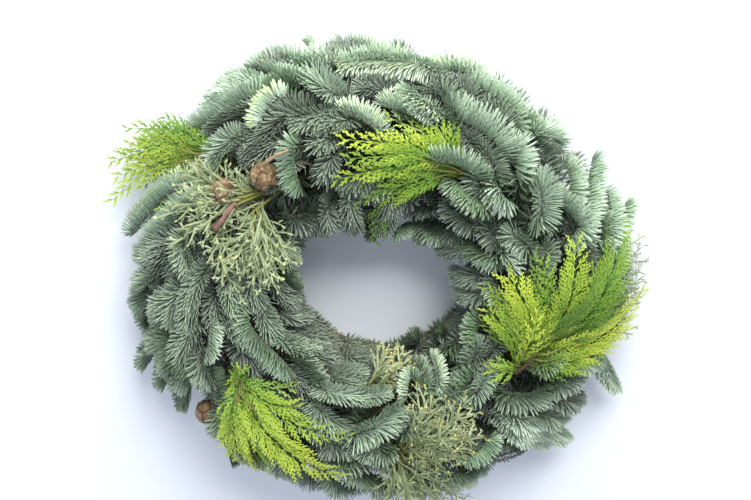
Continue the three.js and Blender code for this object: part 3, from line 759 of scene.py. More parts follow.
# %% Upper and middle sprigs
NEEDLES_PER_MM = 4.4
# INK and DEEP are painted shade, for shoots that lie in shadow; SAGE and LIGHT partly paint the lamp's
# light on the shoots it falls on
INK, DEEP, MID, BLUE, FROST, SAGE, LIGHT, LIME = 0.05, 0.15, 0.3, 0.42, 0.54, 0.67, 0.79, 0.89
FIR_SPRIGS = [
    # top of the ring, from the upper left round to the right
    ((82, 40), ((107, 221, 2, 121, 240, 2, 13, 55, SAGE), (110, 216, -3, 117, 232, -3, 10, 55, FROST),
        (120, 226, 2, 129, 239, 0, 10, 50, FROST), (86, 217, 3, 104, 223, 2, 13, 55, LIGHT),
        (89, 219, 2, 97, 235, 2, 9, 50, LIGHT), (104, 221, -2, 106, 242, 0, 8, 50, SAGE),
        (112, 222, 14, 122, 232, 12, 12, 10, DEEP), (95, 216, 14, 105, 228, 12, 12, 10, DEEP))),
    ((68, 55), ((79, 215, 0, 101, 217, -3, 14, -65, LIGHT), (102, 198, 2, 108, 219, -3, 16, 0, FROST))),
    ((99, 55), ((115, 211, -6, 124, 203, -12, 12, 65, LIME),
        (108, 210, 2, 118, 220, -2, 13, 70, MID), (117, 218, 4, 128, 222, 0, 11, 55, FROST),
        (118, 206, 12, 130, 216, 12, 12, 10, DEEP))),
    ((82, 75), ((91, 168, -2, 101, 195, -8, 12, 55, LIGHT), (103, 183, 0, 115, 188, -5, 14, -20, MID),
        (98, 177, 0, 109, 178, -5, 13, 5, MID), (88, 195, 8, 97, 200, 6, 12, 0, DEEP),
        (111, 192, 4, 132, 190, 2, 15, 10, DEEP))),
    ((112, 50), ((124, 226, 2, 135, 236, 2, 11, 55, SAGE), (120, 217, 0, 140, 232, -2, 14, 55, SAGE),
        (129, 200, 0, 139, 203, -8, 13, 0, BLUE), (124, 210, 14, 137, 222, 12, 12, 10, DEEP))),
    ((100, 100), ((116, 170, 0, 126, 134, -4, 13, 80, FROST), (106, 150, 4, 114, 131, -2, 14, 10, DEEP),
        (104, 163, 4, 112, 165, 0, 13, 0, MID), (119, 155, 12, 134, 152, 10, 12, 5, DEEP),
        (118, 173, 12, 134, 182, 12, 13, 0, DEEP), (116, 188, 14, 132, 196, 14, 13, 0, DEEP),
        (101, 217, 7, 116, 225, 7, 13, 15, BLUE))),
    ((60, 65), ((79, 178, -2, 91, 197, -8, 13, 55, LIGHT), (77, 187, -6, 87, 202, -12, 12, -55, LIGHT),
        (75, 179, 2, 87, 184, -5, 14, 50, MID), (72, 190, 0, 77, 210, -2, 13, 20, MID),
        (68, 200, 4, 75, 212, 2, 12, 10, DEEP), (62, 168, 6, 72, 186, 4, 13, 5, DEEP),
        (70, 202, 10, 86, 199, 8, 14, 0, DEEP), (72, 186, 12, 88, 190, 10, 14, 0, DEEP),
        (68, 218, 6, 83, 219, 5, 13, 15, LIGHT))),
    ((38, 48), ((55, 180, -4, 74, 205, -10, 18, 70, SAGE), (62, 206, 8, 70, 214, 6, 12, 0, DEEP),
        (57, 207, 0, 71, 222, -4, 14, 65, SAGE), (55, 203, 2, 61, 217, 0, 11, 50, SAGE),
        (50, 204, 2, 58, 212, -2, 12, 55, BLUE), (56, 196, 4, 66, 208, 0, 12, 10, MID))),
    ((20, 62), ((48, 175, -4, 55, 198, -12, 15, 55, SAGE), (51, 206, -4, 42, 221, 0, 13, -20, SAGE),
        (32, 162, -2, 44, 190, -8, 17, 0, FROST), (32, 196, 0, 40, 215, -4, 12, 50, SAGE),
        (21, 190, 0, 37, 193, -4, 15, 50, SAGE))),
    ((0, 40), ((22, 186, 0, 31, 237, 0, 13, 55, SAGE), (16, 213, 3, 22, 233, 3, 12, 55, SAGE),
        (12, 203, 12, 23, 219, 8, 13, 20, BLUE), (6, 208, 10, 18, 251, 2, 12, 50, SAGE),
        (3, 213, 6, 9, 238, 6, 12, 20, BLUE), (13, 183, 10, 32, 186, 10, 14, 0, DEEP))),
    ((46, 95), ((58, 152, -4, 76, 160, -11, 13, 80, FROST), (50, 138, 2, 61, 153, -2, 15, -25, MID),
        (49, 131, -2, 68, 127, -6, 13, -55, BLUE), (43, 113, 2, 62, 105, 0, 13, 0, DEEP),
        (51, 150, -2, 40, 144, -6, 13, 55, SAGE), (52, 158, 4, 65, 184, 0, 13, 10, MID))),
    ((12, 110), ((24, 142, 0, 36, 131, -4, 14, 0, BLUE), (24, 112, -2, 37, 80, -2, 12, -20, BLUE),
        (28, 119, -2, 17, 125, -6, 11, -50, FROST), (30, 120, 2, 46, 120, 0, 14, 0, DEEP),
        (13, 138, 6, 23, 164, 2, 13, 5, MID))),
    # top of the hole, in the shade below the golden cypress
    ((76, 112), ((88, 118, 6, 104, 104, 4, 14, 10, MID), (94, 126, 8, 110, 115, 6, 14, 0, MID),
        (76, 104, 10, 88, 86, 8, 12, 0, INK), (84, 104, 4, 90, 50, -34, 13, 0, DEEP),
        (80, 150, 16, 94, 156, 14, 13, 10, DEEP))),
    ((94, 130), ((110, 98, 6, 125, 75, 6, 12, 5, DEEP), (122, 100, 6, 139, 82, 6, 12, 0, DEEP),
        (98, 88, 8, 103, 50, -30, 10, 20, DEEP), (106, 104, 4, 113, 58, -28, 12, 5, DEEP),
        (118, 102, 4, 128, 70, -20, 11, 0, DEEP))),
    ((30, 130), ((46, 77, 0, 76, 46, -26, 12, -65, SAGE), (42, 96, 10, 56, 50, -22, 12, 0, DEEP),
        (32, 98, 8, 34, 58, -16, 12, 0, DEEP), (44, 84, 26, 68, 66, 0, 10, 0, DEEP),
        (66, 94, 16, 82, 74, 12, 11, 0, INK))),
    # right side of the hole
    ((348, 120), ((3, 108, 4, 14, 97, 2, 13, -65, FROST), (14, 97, 6, 10, 62, -14, 12, 0, DEEP),
        (2, 95, 10, 352, 68, -8, 12, -10, MID))),
    ((342, 80), ((350, 150, 16, 4, 165, 14, 13, 0, DEEP), (352, 125, 14, 10, 135, 14, 13, 5, DEEP),
        (2, 180, 12, 20, 178, 8, 14, 10, DEEP))),
    # left side, from the top downwards
    ((142, 45), ((148, 207, 0, 169, 246, 2, 14, 80, SAGE), (147, 190, -2, 168, 226, -2, 14, 80, SAGE),
        (166, 198, 4, 174, 238, 2, 12, 10, MID), (175, 212, 2, 189, 244, 2, 13, 15, MID),
        (183, 224, 4, 196, 243, 2, 13, 55, MID))),
    ((144, 70), ((160, 187, 0, 171, 170, -6, 13, 0, BLUE), (162, 195, 4, 172, 228, 2, 14, 10, DEEP),
        (166, 198, 6, 178, 216, 4, 12, 5, INK), (163, 178, 10, 175, 196, 8, 13, 0, DEEP))),
    ((150, 80), ((168, 164, -2, 188, 181, -8, 13, 0, MID), (176, 184, 0, 187, 198, -6, 14, 0, MID),
        (188, 176, 0, 197, 198, -8, 14, 5, MID))),
    ((170, 60), ((190, 198, 2, 204, 193, 0, 15, 55, MID), (180, 197, 6, 193, 217, 4, 13, 20, MID),
        (198, 176, 4, 208, 182, 2, 13, 0, MID), (204, 174, 8, 217, 182, 6, 12, 180, MID))),
    ((164, 90), ((186, 153, -4, 198, 163, -8, 9, -70, SAGE), (186, 172, 10, 198, 180, 6, 13, 0, DEEP),
        (176, 152, 8, 191, 151, 6, 13, 0, DEEP))),
    ((178, 40), ((192, 208, 4, 203, 268, 4, 13, 50, MID), (198, 206, 2, 209, 261, 2, 13, 50, BLUE),
        (196, 205, 4, 207, 232, 2, 13, 10, MID), (204, 208, 6, 217, 256, 4, 12, 15, BLUE))),
    ((170, 110), ((184, 124, -2, 221, 113, -10, 14, 70, FROST),
        (196, 136, 8, 213, 129, 6, 15, 10, INK), (184, 110, 4, 203, 104, 0, 14, 5, MID))),
    ((150, 105), ((168, 142, 4, 186, 126, -2, 14, -10, BLUE),
        (184, 139, 4, 199, 127, 0, 14, -25, MID), (158, 118, 8, 172, 104, 6, 13, 0, MID),
        (136, 112, 12, 122, 92, 10, 14, 0, DEEP), (166, 122, 4, 184, 110, 0, 14, 10, MID))),
    ((140, 110), ((148, 104, 6, 162, 86, 4, 13, 0, MID), (163, 96, 10, 181, 74, 5, 12, -65, MID),
        (176, 98, 14, 193, 80, 12, 12, 0, DEEP))),
    # bottom of the ring, from the left to the right
    ((190, 112), ((203, 101, 2, 219, 84, -6, 12, 0, BLUE), (192, 96, 14, 208, 73, 14, 11, 0, DEEP),
        (210, 100, 0, 240, 96, -4, 16, -55, MID), (220, 113, 6, 234, 112, 4, 13, 0, INK),
        (213, 94, 6, 224, 80, 2, 9, 0, BLUE))),
    ((218, 90), ((240, 121, 0, 258, 134, -4, 14, 10, BLUE), (238, 132, 4, 256, 148, 0, 15, 20, MID),
        (226, 128, 12, 240, 136, 10, 13, 0, DEEP))),
    ((226, 120), ((238, 104, -2, 277, 93, -8, 12, 5, FROST), (240, 95, 8, 262, 92, 6, 12, 0, MID),
        (246, 89, 12, 262, 85, 8, 9, 0, BLUE), (222, 92, 14, 238, 84, 14, 12, 0, DEEP))),
    ((284, 85), ((258, 134, -4, 284, 104, -12, 17, 10, FROST),
        (272, 148, 0, 266, 136, -8, 14, 0, MID), (280, 130, 0, 286, 114, -4, 12, 10, MID),
        (272, 150, 2, 258, 146, -2, 12, 0, BLUE))),
    ((238, 65), ((250, 150, 4, 266, 142, 0, 14, 10, DEEP), (254, 168, 4, 268, 158, 0, 14, 5, MID),
        (258, 170, 4, 272, 206, 2, 13, 10, MID))),
    ((274, 115), ((283, 98, -2, 287, 78, -8, 8, -80, LIGHT),
        (294, 101, -2, 291, 80, -6, 10, 65, BLUE), (296, 98, -2, 300, 76, -4, 9, 65, BLUE),
        (302, 100, -2, 312, 76, -8, 8, 65, LIGHT), (292, 85, 54, 299, 62, -8, 13, 0, DEEP))),
    ((300, 122), ((331, 97, 0, 349, 84, 0, 13, -55, BLUE), (322, 104, 0, 338, 98, -4, 14, 0, MID),
        (318, 86, 8, 334, 92, 4, 13, 55, MID), (310, 88, 62, 319, 72, 0, 12, 0, DEEP),
        (328, 113, 8, 346, 116, 8, 14, 0, DEEP))),
    ((296, 100), ((300, 116, 0, 313, 108, -3, 13, 0, BLUE), (310, 113, 0, 327, 105, -3, 14, -65, BLUE),
        (314, 124, 0, 331, 117, -4, 13, 10, FROST))),
    ((304, 60), ((322, 148, 4, 331, 192, 0, 15, 10, MID), (316, 164, 6, 322, 205, 4, 14, 5, MID),
        (314, 180, 4, 313, 258, 2, 13, 0, SAGE),
        (318, 172, 2, 316, 270, 0, 14, 0, SAGE),
        (322, 200, 6, 320, 248, 4, 13, 0, MID), (328, 205, 6, 326, 243, 4, 13, 0, DEEP))),
    ((284, 50), ((298, 176, 0, 311, 172, -6, 12, 80, FROST), (296, 184, 2, 312, 206, 0, 14, 150, DEEP),
        (289, 190, 6, 300, 228, 4, 14, 10, MID), (293, 206, 2, 295, 252, 2, 11, 20, SAGE))),
    ((322, 45), ((342, 198, 4, 331, 272, 0, 13, 20, SAGE), (338, 158, 6, 348, 172, 2, 13, 5, MID),
        (332, 184, 10, 338, 214, 8, 12, 0, MID), (348, 205, 6, 0, 236, 6, 13, 10, MID))),
    ((230, 45), ((246, 192, 4, 257, 239, 4, 14, 20, DEEP), (256, 198, 4, 266, 240, 4, 14, 5, MID),
        (240, 190, 4, 249, 239, 4, 13, 0, DEEP), (267, 192, 6, 277, 236, 6, 13, -5, MID),
        (278, 188, 8, 286, 236, 6, 13, -10, DEEP))),
    ((208, 50), ((224, 214, 6, 236, 262, 4, 12, -65, DEEP), (220, 205, 8, 231, 240, 8, 12, 0, MID),
        (230, 202, 4, 241, 230, 4, 13, 5, INK))),
]
for number, (bed, rows) in enumerate(FIR_SPRIGS, 1):
    fir_sprig(f"noble_fir_{number:02d}", f"fir_sprig_{number:02d}", bed, rows,
              NEEDLES_PER_MM, NEEDLE_RINGS, seed=100 + number)
print("upper fir sprigs:", len(FIR_SPRIGS), "triangles:", sum(made_triangles.values()))

# %% [markdown]
# ## The bottom layer
#
# Six like sprigs lie below all the others and hide the straw from the side. Their shoots are
# written with the height of their upper side in place of the depth.

# %% Low sprigs
SECTOR = 60
LOW_BED = 25  # degrees round the straw's section
# a dark tint, painted shade for sprigs that lie below all the others
LOW_TONE = 0.21
LOW_NEEDLES_PER_MM = 2.2
LOW_REACH = 236  # no low shoot goes farther from the ring's centre
LOW_SPRIG = [
    (18, 166, 34, 27, 228, 27, 15), (30, 164, 38, 41, 234, 30, 15), (46, 166, 34, 55, 226, 26, 15),
    (60, 164, 38, 70, 232, 29, 15), (26, 180, 66, 42, 208, 62, 16), (50, 178, 70, 68, 212, 60, 16),
    (22, 168, 70, 30, 196, 72, 15), (36, 166, 72, 50, 188, 72, 15), (58, 170, 70, 74, 194, 72, 15),
    (24, 190, 44, 35, 222, 46, 14), (38, 190, 46, 49, 224, 44, 14), (52, 190, 44, 63, 222, 46, 14),
    (66, 190, 46, 77, 224, 44, 14), (34, 182, 82, 50, 202, 80, 14), (4, 180, 80, 20, 202, 80, 14),
    (32, 93, 50, 54, 88, 56, 12), (4, 94, 46, 26, 88, 44, 12), (14, 98, 64, 42, 93, 66, 13),
    (40, 98, 62, 66, 93, 64, 13),
    # on the crown and the inner side of the straw
    (6, 128, 64, 30, 132, 62, 16), (34, 112, 62, 60, 112, 60, 16), (20, 150, 72, 46, 152, 70, 16),
    (30, 134, 66, 54, 138, 64, 16), (48, 154, 72, 72, 152, 72, 16),
    (6, 95, 34, 36, 92, 30, 10), (38, 95, 32, 66, 92, 28, 10), (-4, 108, 58, 18, 104, 56, 12),
    (4, 92, 18, 32, 90, 12, 10), (34, 92, 16, 62, 90, 10, 10)]
TUCKED_IN = (14, 0, 0, 0, 0, 0)  # the first sprig's outer tips would show as stars past the rest
for number, tuck in enumerate(TUCKED_IN, 1):
    sector = SECTOR * (number - 1)
    rows = []
    for turn0, radius0, height0, turn1, radius1, height1, half_width in LOW_SPRIG:
        radius1 = min(radius1, LOW_REACH - tuck)
        rows.append((turn0 + sector, radius0, dome_height(radius0) - height0, turn1 + sector, radius1,
                     dome_height(radius1) - height1, half_width, 0, LOW_TONE))
    fir_sprig(f"low_noble_fir_{number:02d}", f"low_fir_sprig_{number:02d}", (sector, LOW_BED),
              rows, LOW_NEEDLES_PER_MM, HIDDEN_RINGS, seed=199 + number)
print("with the low sprigs:", sum(made_triangles.values()))

# %% [markdown]
# ## Cypress sprays
#
# A cypress has no needles. Its leaves are tiny scales pressed to the twig, so what shows are thin
# twigs that fork again and again. The golden cypress forks in one flat plane, like a fern. The
# grey one forks in all directions, like antlers. Both grow by the same rule here: every strand
# bears offshoots at even steps, and those bear their own. The rule works on all strands of one
# order at once.

# %% Offshoots
GOLDEN_TURN = 137.5
BEARING = 0.92  # the share of a parent that bears offshoots
SHARE_SLIP = 0.12
HAND_SLIP = 8  # degrees
ANGLE_SLIP = 4  # degrees
TWIG_LENGTHS = (0.82, 1.12)  # shortest and longest, as shares of the length asked for


def offshoots(parents, length_of_share, spacing, angle, thin, hand_turn, ripening, chance):
    """The next order of twigs. They stand along each parent every spacing millimetres, lean from it
    by the angle, and each is turned round the parent by hand_turn from the one before. Their length
    is the parent's times what length_of_share gives for their place on it, and their width the
    parent's times thin. Towards the parent's tip their tint is lighter, by up to ripening."""
    whole = (np.linalg.norm(parents.knee - parents.root, axis=1)
             + np.linalg.norm(parents.tip - parents.knee, axis=1))
    count = np.floor(BEARING * whole / spacing).astype(int)
    parent = np.repeat(np.arange(len(whole)), count)
    rank = np.arange(len(parent)) - np.repeat(np.cumsum(count) - count, count)
    slip = chance.uniform(-SHARE_SLIP, SHARE_SLIP, len(parent))
    share = (rank + 0.75 + slip) / (count[parent] + 0.45)
    spot, along, face, side = on_strand(*(each[parent] for each in parents.bends()), share[:, None])
    turned = np.radians(hand_turn * rank + chance.normal(0, HAND_SLIP, len(parent)))[:, None]
    outwards = np.cos(turned) * side + np.sin(turned) * face
    lean = np.radians(angle + chance.normal(0, ANGLE_SLIP, len(parent)))[:, None]
    lead = np.cos(lean) * along + np.sin(lean) * outwards
    length = whole[parent] * length_of_share(share) * chance.uniform(*TWIG_LENGTHS, len(parent))
    half = 0.5 * length[:, None]
    middle = spot + half * lead
    end = middle + half * unit(lead + 0.35 * along)
    return Strands(spot, middle, end, np.cross(face, lead), parents.width[parent] * thin,
                   parents.tint[parent] + ripening * share)


def leading(line, bare, across, width, tint):
    """The leading twig of a spray as one strand: the parabola through the path's leafy part."""
    (start, middle, tip), _ = walk(line, [bare, (1 + bare) / 2, 1.0])
    knee = 2 * middle - (start + tip) / 2
    return Strands(start[None], knee[None], tip[None], across[None], np.array([width]),
                   np.array([tint]))


def spray_stem(line, bare, radii):
    """A spray's own stem, from its bound end to half-way along its leafy part."""
    shares = [0, 0.04, 0.5 * bare, bare, 0.5 + 0.5 * bare]
    return route_skin(line, shares, radii, STEM_SIDES, BARK_PATCH, material=1)


def turned_about(vectors, axis, degrees):
    """Vectors turned about an axis, Rodrigues' formula."""
    angle = np.radians(degrees)
    return (np.cos(angle) * vectors + np.sin(angle) * np.cross(axis, vectors)
            + (1 - np.cos(angle)) * (vectors @ axis)[..., None] * axis)


# %% [markdown]
# ## Golden cypress
#
# Florists call these fronds golden because the young tips are bright yellow, while the shaded
# inner scales stay green. A frond is a main spray with a narrower one on each side below it. Each
# twig is flat below and keeled above, and bands of shade along it mark its scales.

# %% Golden cypress material
SCALES_ON_TWIG = 7.0

golden_scales, tree, shader = principled("golden_scales", 0.5)
chart = chart_of(tree)
gold = ramp(tree, chart["Tint"], [
    (0.05, "#2c5420"), (0.22, "#47812a"), (0.40, "#759f2e"), (0.58, "#9dba37"),
    (0.76, "#c3d447"), (0.92, "#e0e273")])
wave = maths(tree, "PINGPONG", maths(tree, "MULTIPLY", chart["Along"], SCALES_ON_TWIG), 0.5)
scaled = dimmed(tree, gold, slide(tree, wave, 0, 0.4, 0.8, 1.12))
# painted shade: each twig darker towards its root, inside the spray
shaded = dimmed(tree, scaled, slide(tree, chart["Along"], 0, 0.5, 0.5, 1))
young = slide(tree, chart["Along"], 0.35, 1, 0, 0.3)
joined(tree, [(blend(tree, young, shaded, linear("#d9e063")), shader.inputs["Base Color"])])
cypress_bark = bark("cypress_bark", "#2c2118", "#5c4936", 1.3)
young_bark = bark("young_bark", "#4f5a26", "#8f8a45", 1.3)
print("materials so far:", [material.name for material in bpy.data.materials])

# %% Golden cypress fronds
KEELED_SECTION = Section([(-0.5, 0), (0.5, 0), (0, 0.32)], [UNDER_BAND, UPPER_BAND, UPPER_BAND],
                         [(0, 1), (1, 0.5), (0.5, 0)])
STOUT_RINGS = [(0.12, 1.0), (0.65, 0.9)]
FINE_RINGS = [(0.5, 1.15)]
FERN_BEFORE = 0.25  # of the leafy part, by which a fern begins early
FLANK_TURN, FLANK_TILT = 16.0, 22.0  # degrees from the middle fern
FLANK_LENGTH, FLANK_WIDTH = 0.86, 0.7  # of the middle fern's
FLANK_DROP, FLANK_SAG = 2.5, 2.2  # below it at the root, and how many times as far at the tip
FLANK_DARKER = 0.14
STEM_DROP = 2.0
SPECKLE = 0.03


def fern(main, half_width, orders, chance):
    """A flat spray: side twigs in an outline that is widest at a quarter of its length, then as many
    finer orders as asked for, each borne by the last. All lean forwards, like a feather's barbs, so
    every side twig is a narrow feather too. The first two orders are stout, and the rest fine."""
    outline = 2.3 * half_width / np.linalg.norm(main.tip - main.root)
    sides = offshoots(main, lambda s: outline * np.interp(s, [0, 0.25, 0.6, 1], [0.6, 1, 0.85, 0.35]),
                      spacing=5.0, angle=32, thin=0.78, hand_turn=180, ripening=0.24, chance=chance)
    fine, parents = [], sides
    for _ in range(orders):
        parents = offshoots(parents, lambda s: 0.36 * (1.2 - s), spacing=2.5, angle=27, thin=0.95,
                            hand_turn=180, ripening=0.14, chance=chance)
        fine.append(parents)
    return [main, sides], fine


def speckled(orders, highest, chance):
    """Orders of twigs as one bunch, with a little spread in their tints, none above the highest."""
    twigs = together(orders)
    twigs.tint = (twigs.tint + chance.normal(0, SPECKLE, len(twigs.tint))).clip(TINT_ENDS[0], highest)
    return twigs


def golden_frond(bed, row, chance):
    """Three ferns from one stem: the middle one on top, the others turned to each side and lower.
    Gives the stout twigs, the fine ones and the stem."""
    half_width, tone = row[6:]
    line, across, bare = bough_line(bed, row)
    main = leading(line, bare - FERN_BEFORE * (1 - bare), across, width=1.9, tint=tone)
    root = main.root[0]
    way = main.tip[0] - root
    up = unit(np.cross(across, way))
    low = -FLANK_DROP * up
    stout, fine = fern(main, half_width, 2, chance)
    for hand in (-1, 1):
        knee, tip = (turned_about(v - root, up, hand * FLANK_TURN) for v in (main.knee, main.tip))
        side = turned_about(main.side, unit(way), -hand * FLANK_TILT)
        flank = Strands(main.root + low, root + FLANK_LENGTH * knee + low,
                        root + FLANK_LENGTH * tip + FLANK_SAG * low, side, main.width,
                        main.tint - FLANK_DARKER)
        more_stout, more_fine = fern(flank, FLANK_WIDTH * half_width, 1, chance)
        stout, fine = stout + more_stout, fine + more_fine
    lowered = line - STEM_DROP * up * np.linspace(0, 1, len(line))[:, None]
    stem = spray_stem(lowered, bare, [1.6, 2.0, 1.4, 0.9, 0.5])
    return speckled(stout, TINT_ENDS[1], chance), speckled(fine, TINT_ENDS[1], chance), stem


def cypress_piece(name, packed, frond, bed, rows, materials, seed, barky=()):
    """All the fronds of one bound stem, in one mesh, and any barky pieces of stem that show. frond is
    the function that grows each."""
    chance = np.random.default_rng(seed)
    grown = [frond(bed, row, chance) for row in rows]
    stout, fine, stems = zip(*grown)
    skins = [strand_skin(stout, KEELED_SECTION, STOUT_RINGS),
             strand_skin(fine, KEELED_SECTION, FINE_RINGS)]
    make_piece(name, [*skins, *stems, *barky], materials, packed)


# %% Where the golden fronds lie
CREAM, LEMON, LEAF, GRASS, SHADY, MOSS = 0.56, 0.46, 0.32, 0.2, 0.12, 0.06
GOLDEN_CYPRESS = [
    ((52, 85), ((62, 147, -4, 103, 166, -10, 11, LEMON), (64, 145, -4, 109, 131, -9, 10, LEAF),
        (66, 140, -2, 92, 100, -6, 11, GRASS), (82, 112, 4, 97, 46, -30, 8, MOSS),
        (66, 151, -2, 76, 179, -6, 12, LEAF), (68, 148, -7, 102, 149, -13, 10, GRASS))),
    ((324, 80), ((345, 147, -8, 22, 182, -14, 15, LEAF), (343, 143, -8, 19, 115, -14, 15, LEMON),
        (340, 138, -4, 357, 94, -8, 11, LEAF), (335, 140, -2, 328, 113, -6, 8, LEAF),
        (346, 150, -8, 16, 229, -15, 16, SHADY), (344, 153, -8, 358, 252, -9, 13, CREAM),
        (341, 152, -4, 347, 222, -6, 10, LEAF), (337, 150, 4, 342, 202, 2, 10, MOSS),
        (337, 133, -10, 3, 137, -17, 9, LEMON),
        (344, 147, -5, 20, 149, -9, 13, SHADY), (340, 142, -3, 8, 105, -8, 11, GRASS))),
    ((120, 45), ((140, 212, 0, 156, 277, 6, 13, LEAF), (140, 213, -2, 150, 256, 4, 12, LEAF),
        (142, 212, 2, 164, 266, 6, 12, LEMON), (142, 208, 4, 153, 262, 8, 13, LEAF),
        (142, 206, 6, 159, 268, 10, 12, LEMON), (144, 206, 2, 168, 250, 2, 8, LEMON),
        (141, 210, 9, 148, 258, 12, 13, GRASS), (143, 206, 10, 157, 258, 14, 13, GRASS))),
    ((194, 75), ((210, 150, -4, 232, 124, -8, 11, LEAF), (211, 154, -8, 257, 176, -13, 15, LEMON),
        (213, 158, -6, 240, 243, -8, 12, LEMON), (213, 160, -4, 225, 204, -4, 8, LEAF),
        (216, 160, 2, 252, 246, 0, 10, LEAF), (209, 150, -4, 202, 139, -6, 7, LEAF))),
]
OLD_STEM = [(333, 137, 2), (337, 138, -4), (341, 140, -8), (345, 141, -9)]
shares = np.linspace(0, 1, 12)
old_stem = route_skin(route([place(*point) for point in OLD_STEM]), shares, 2.0 - 0.6 * shares,
                      sides=10, chart=BARK_PATCH, material=2)
for number, (bed, rows) in enumerate(GOLDEN_CYPRESS, 1):
    cypress_piece(f"golden_spray_{number:02d}", f"golden_cypress_{number:02d}",
                  golden_frond, bed, rows, [golden_scales, young_bark, cypress_bark],
                  seed=300 + number, barky=[old_stem] if number == 2 else [])
print("with the golden cypress:", sum(made_triangles.values()))

# %% [markdown]
# ## Grey cypress
#
# The grey cypress forks more openly than the golden one, in all directions, and it carries small
# yellow pollen cones at the ends of its twigs. Its leading twig is the same strand, but its
# offshoots are turned round it by the golden angle instead of lying left and right.

# %% Grey cypress material
grey_scales, tree, shader = principled("grey_scales", 0.6)
chart = chart_of(tree)
grey = ramp(tree, chart["Tint"], [
    (0.05, "#3b4733"), (0.22, "#657351"), (0.40, "#8d9a70"), (0.55, "#b0bb8f"), (0.68, "#ccd5ae"),
    (0.74, "#a8a04a"), (0.84, "#c6bf5c"), (0.92, "#dcd67f")])
flickered = dimmed(tree, grey, slide(tree, chart["Flicker"], 0, 1, 0.88, 1.1))
joined(tree, [(flickered, shader.inputs["Base Color"])])
print("grey_scales nodes:", len(tree.nodes))

# %% Grey cypress tufts
SCALE_TINTS_END = 0.68  # above it the colour chart has the pollen cones' yellows
POLLEN_TINTS = (0.76, 0.91)
POLLEN_WIDTHS = (1.6, 2.3)


def grey_frond(bed, row, chance):
    """An open tuft of three orders, and pollen cones: short fat strands on a share of the ends."""
    half_width, tone, pollen = row[6:]
    line, across, bare = bough_line(bed, row)
    main = leading(line, bare - FERN_BEFORE * (1 - bare), across, width=2.3, tint=tone)
    outline = 2.5 * half_width / np.linalg.norm(main.tip - main.root)
    in_turn = {"hand_turn": GOLDEN_TURN, "ripening": 0.08, "chance": chance}
    first = offshoots(main, lambda s: outline * np.interp(s, [0, 0.3, 1], [0.75, 1, 0.45]),
                      spacing=5.4, angle=38, thin=0.8, **in_turn)
    second = offshoots(first, lambda s: 0.62 * (1.2 - s), spacing=6.0, angle=46, thin=0.85, **in_turn)
    third = offshoots(second, lambda s: 0.75 * (1.2 - s), spacing=4.4, angle=48, thin=0.95, **in_turn)
    stout = speckled([main, first], SCALE_TINTS_END, chance)
    twigs = speckled([second, third], SCALE_TINTS_END, chance)
    bears = np.nonzero(chance.random(len(twigs.tip)) < pollen)[0]
    ends, way = twigs.tip[bears], unit(twigs.tip - twigs.knee)[bears]
    cones = Strands(ends - 0.6 * way, ends + 0.9 * way, ends + 2.4 * way, twigs.side[bears],
                    chance.uniform(*POLLEN_WIDTHS, len(bears)), chance.uniform(*POLLEN_TINTS, len(bears)))
    return stout, together([twigs, cones]), spray_stem(line, bare, [1.6, 2.0, 1.8, 1.2, 0.7])


# %% Where the grey tufts lie
PALE, DIM, OLIVE = 0.37, 0.4, 0.31
GREY_CYPRESS = [
    ((120, 85), ((136, 162, -4, 147, 218, -8, 12, PALE, 0), (137, 160, -6, 155, 207, -10, 12, PALE, 0),
        (138, 158, -6, 162, 194, -12, 12, PALE, 0.02), (139, 147, -6, 164, 104, -10, 15, PALE, 0.03),
        (150, 166, -6, 173, 126, -8, 9, PALE, 0.03), (138, 146, -4, 151, 97, -8, 12, PALE, 0.02))),
    ((262, 80), ((278, 148, -2, 294, 102, -10, 14, DIM, 0.3), (280, 152, -4, 308, 122, -10, 15, DIM, 0.3),
        (278, 158, -2, 304, 150, -8, 14, DIM, 0.2), (276, 162, 0, 288, 232, 2, 15, OLIVE, 0.05),
        (274, 160, 0, 275, 214, 2, 11, OLIVE, 0.05))),
    ((262, 125), ((262, 92, 2, 272, 72, -6, 9, DIM, 0.35), (270, 92, 4, 287, 72, 4, 8, DIM, 0.35))),
    ((338, 50), ((356, 200, 6, 8, 241, 8, 13, DIM, 0), (355, 202, 6, 3, 250, 8, 13, DIM, 0),
        (352, 204, 10, 358, 250, 16, 12, DIM, 0), (345, 208, 6, 347, 254, 6, 8, DIM, 0))),
]
for number, (bed, rows) in enumerate(GREY_CYPRESS, 1):
    cypress_piece(f"grey_spray_{number:02d}", f"grey_cypress_{number:02d}", grey_frond,
                  bed, rows, [grey_scales, young_bark], seed=400 + number)
print("with the grey cypress:", sum(made_triangles.values()))

# %% [markdown]
# ## Cones
#
# Three round cypress cones. Each is a ball of about ten shield-shaped scales with a blunt horn in
# the middle of each. Where the scales meet depends only on which scale's middle is nearest, so the
# ball is a grid of directions whose radius drops where the nearest two middles are equally far.

# %% Cone material
cone_brown, tree, shader = principled("cone_brown", 0.55)
depth_mask = node(tree, "ShaderNodeAttribute", attribute_name="scale_height").outputs["Fac"]
on_object = node(tree, "ShaderNodeTexCoord").outputs["Object"]
# painted shade in the grooves between scales, where the mask is low, and a painted highlight, partly
# wear, on the horns
groove_shade_horn_light = ramp(tree, depth_mask, [
    (0.1, "#241a10"), (0.45, "#543f2a"), (0.75, "#7b6142"), (0.95, "#ac9167")])
mottle = node(tree, "ShaderNodeTexNoise",
              {"Vector": on_object, "Scale": 160.0, "Detail": 6.0, "Roughness": 0.7})
spots = ramp(tree, mottle.outputs["Fac"], [
    (0.38, "#46321f"), (0.5, "#7c5e40"), (0.6, "#c2ad8a"), (0.68, "#dccfb2")])
relief = node(tree, "ShaderNodeBump", {"Height": mottle.outputs["Fac"], "Distance": 0.002})
joined(tree, [(blend(tree, 0.5, groove_shade_horn_light, spots), shader.inputs["Base Color"]),
              (relief.outputs["Normal"], shader.inputs["Normal"])])
print("cone_brown nodes:", len(tree.nodes))

# %% The grid of a ball
OUTWARDS = [0, 3, 2, 1]  # a face's corners counted the other way round


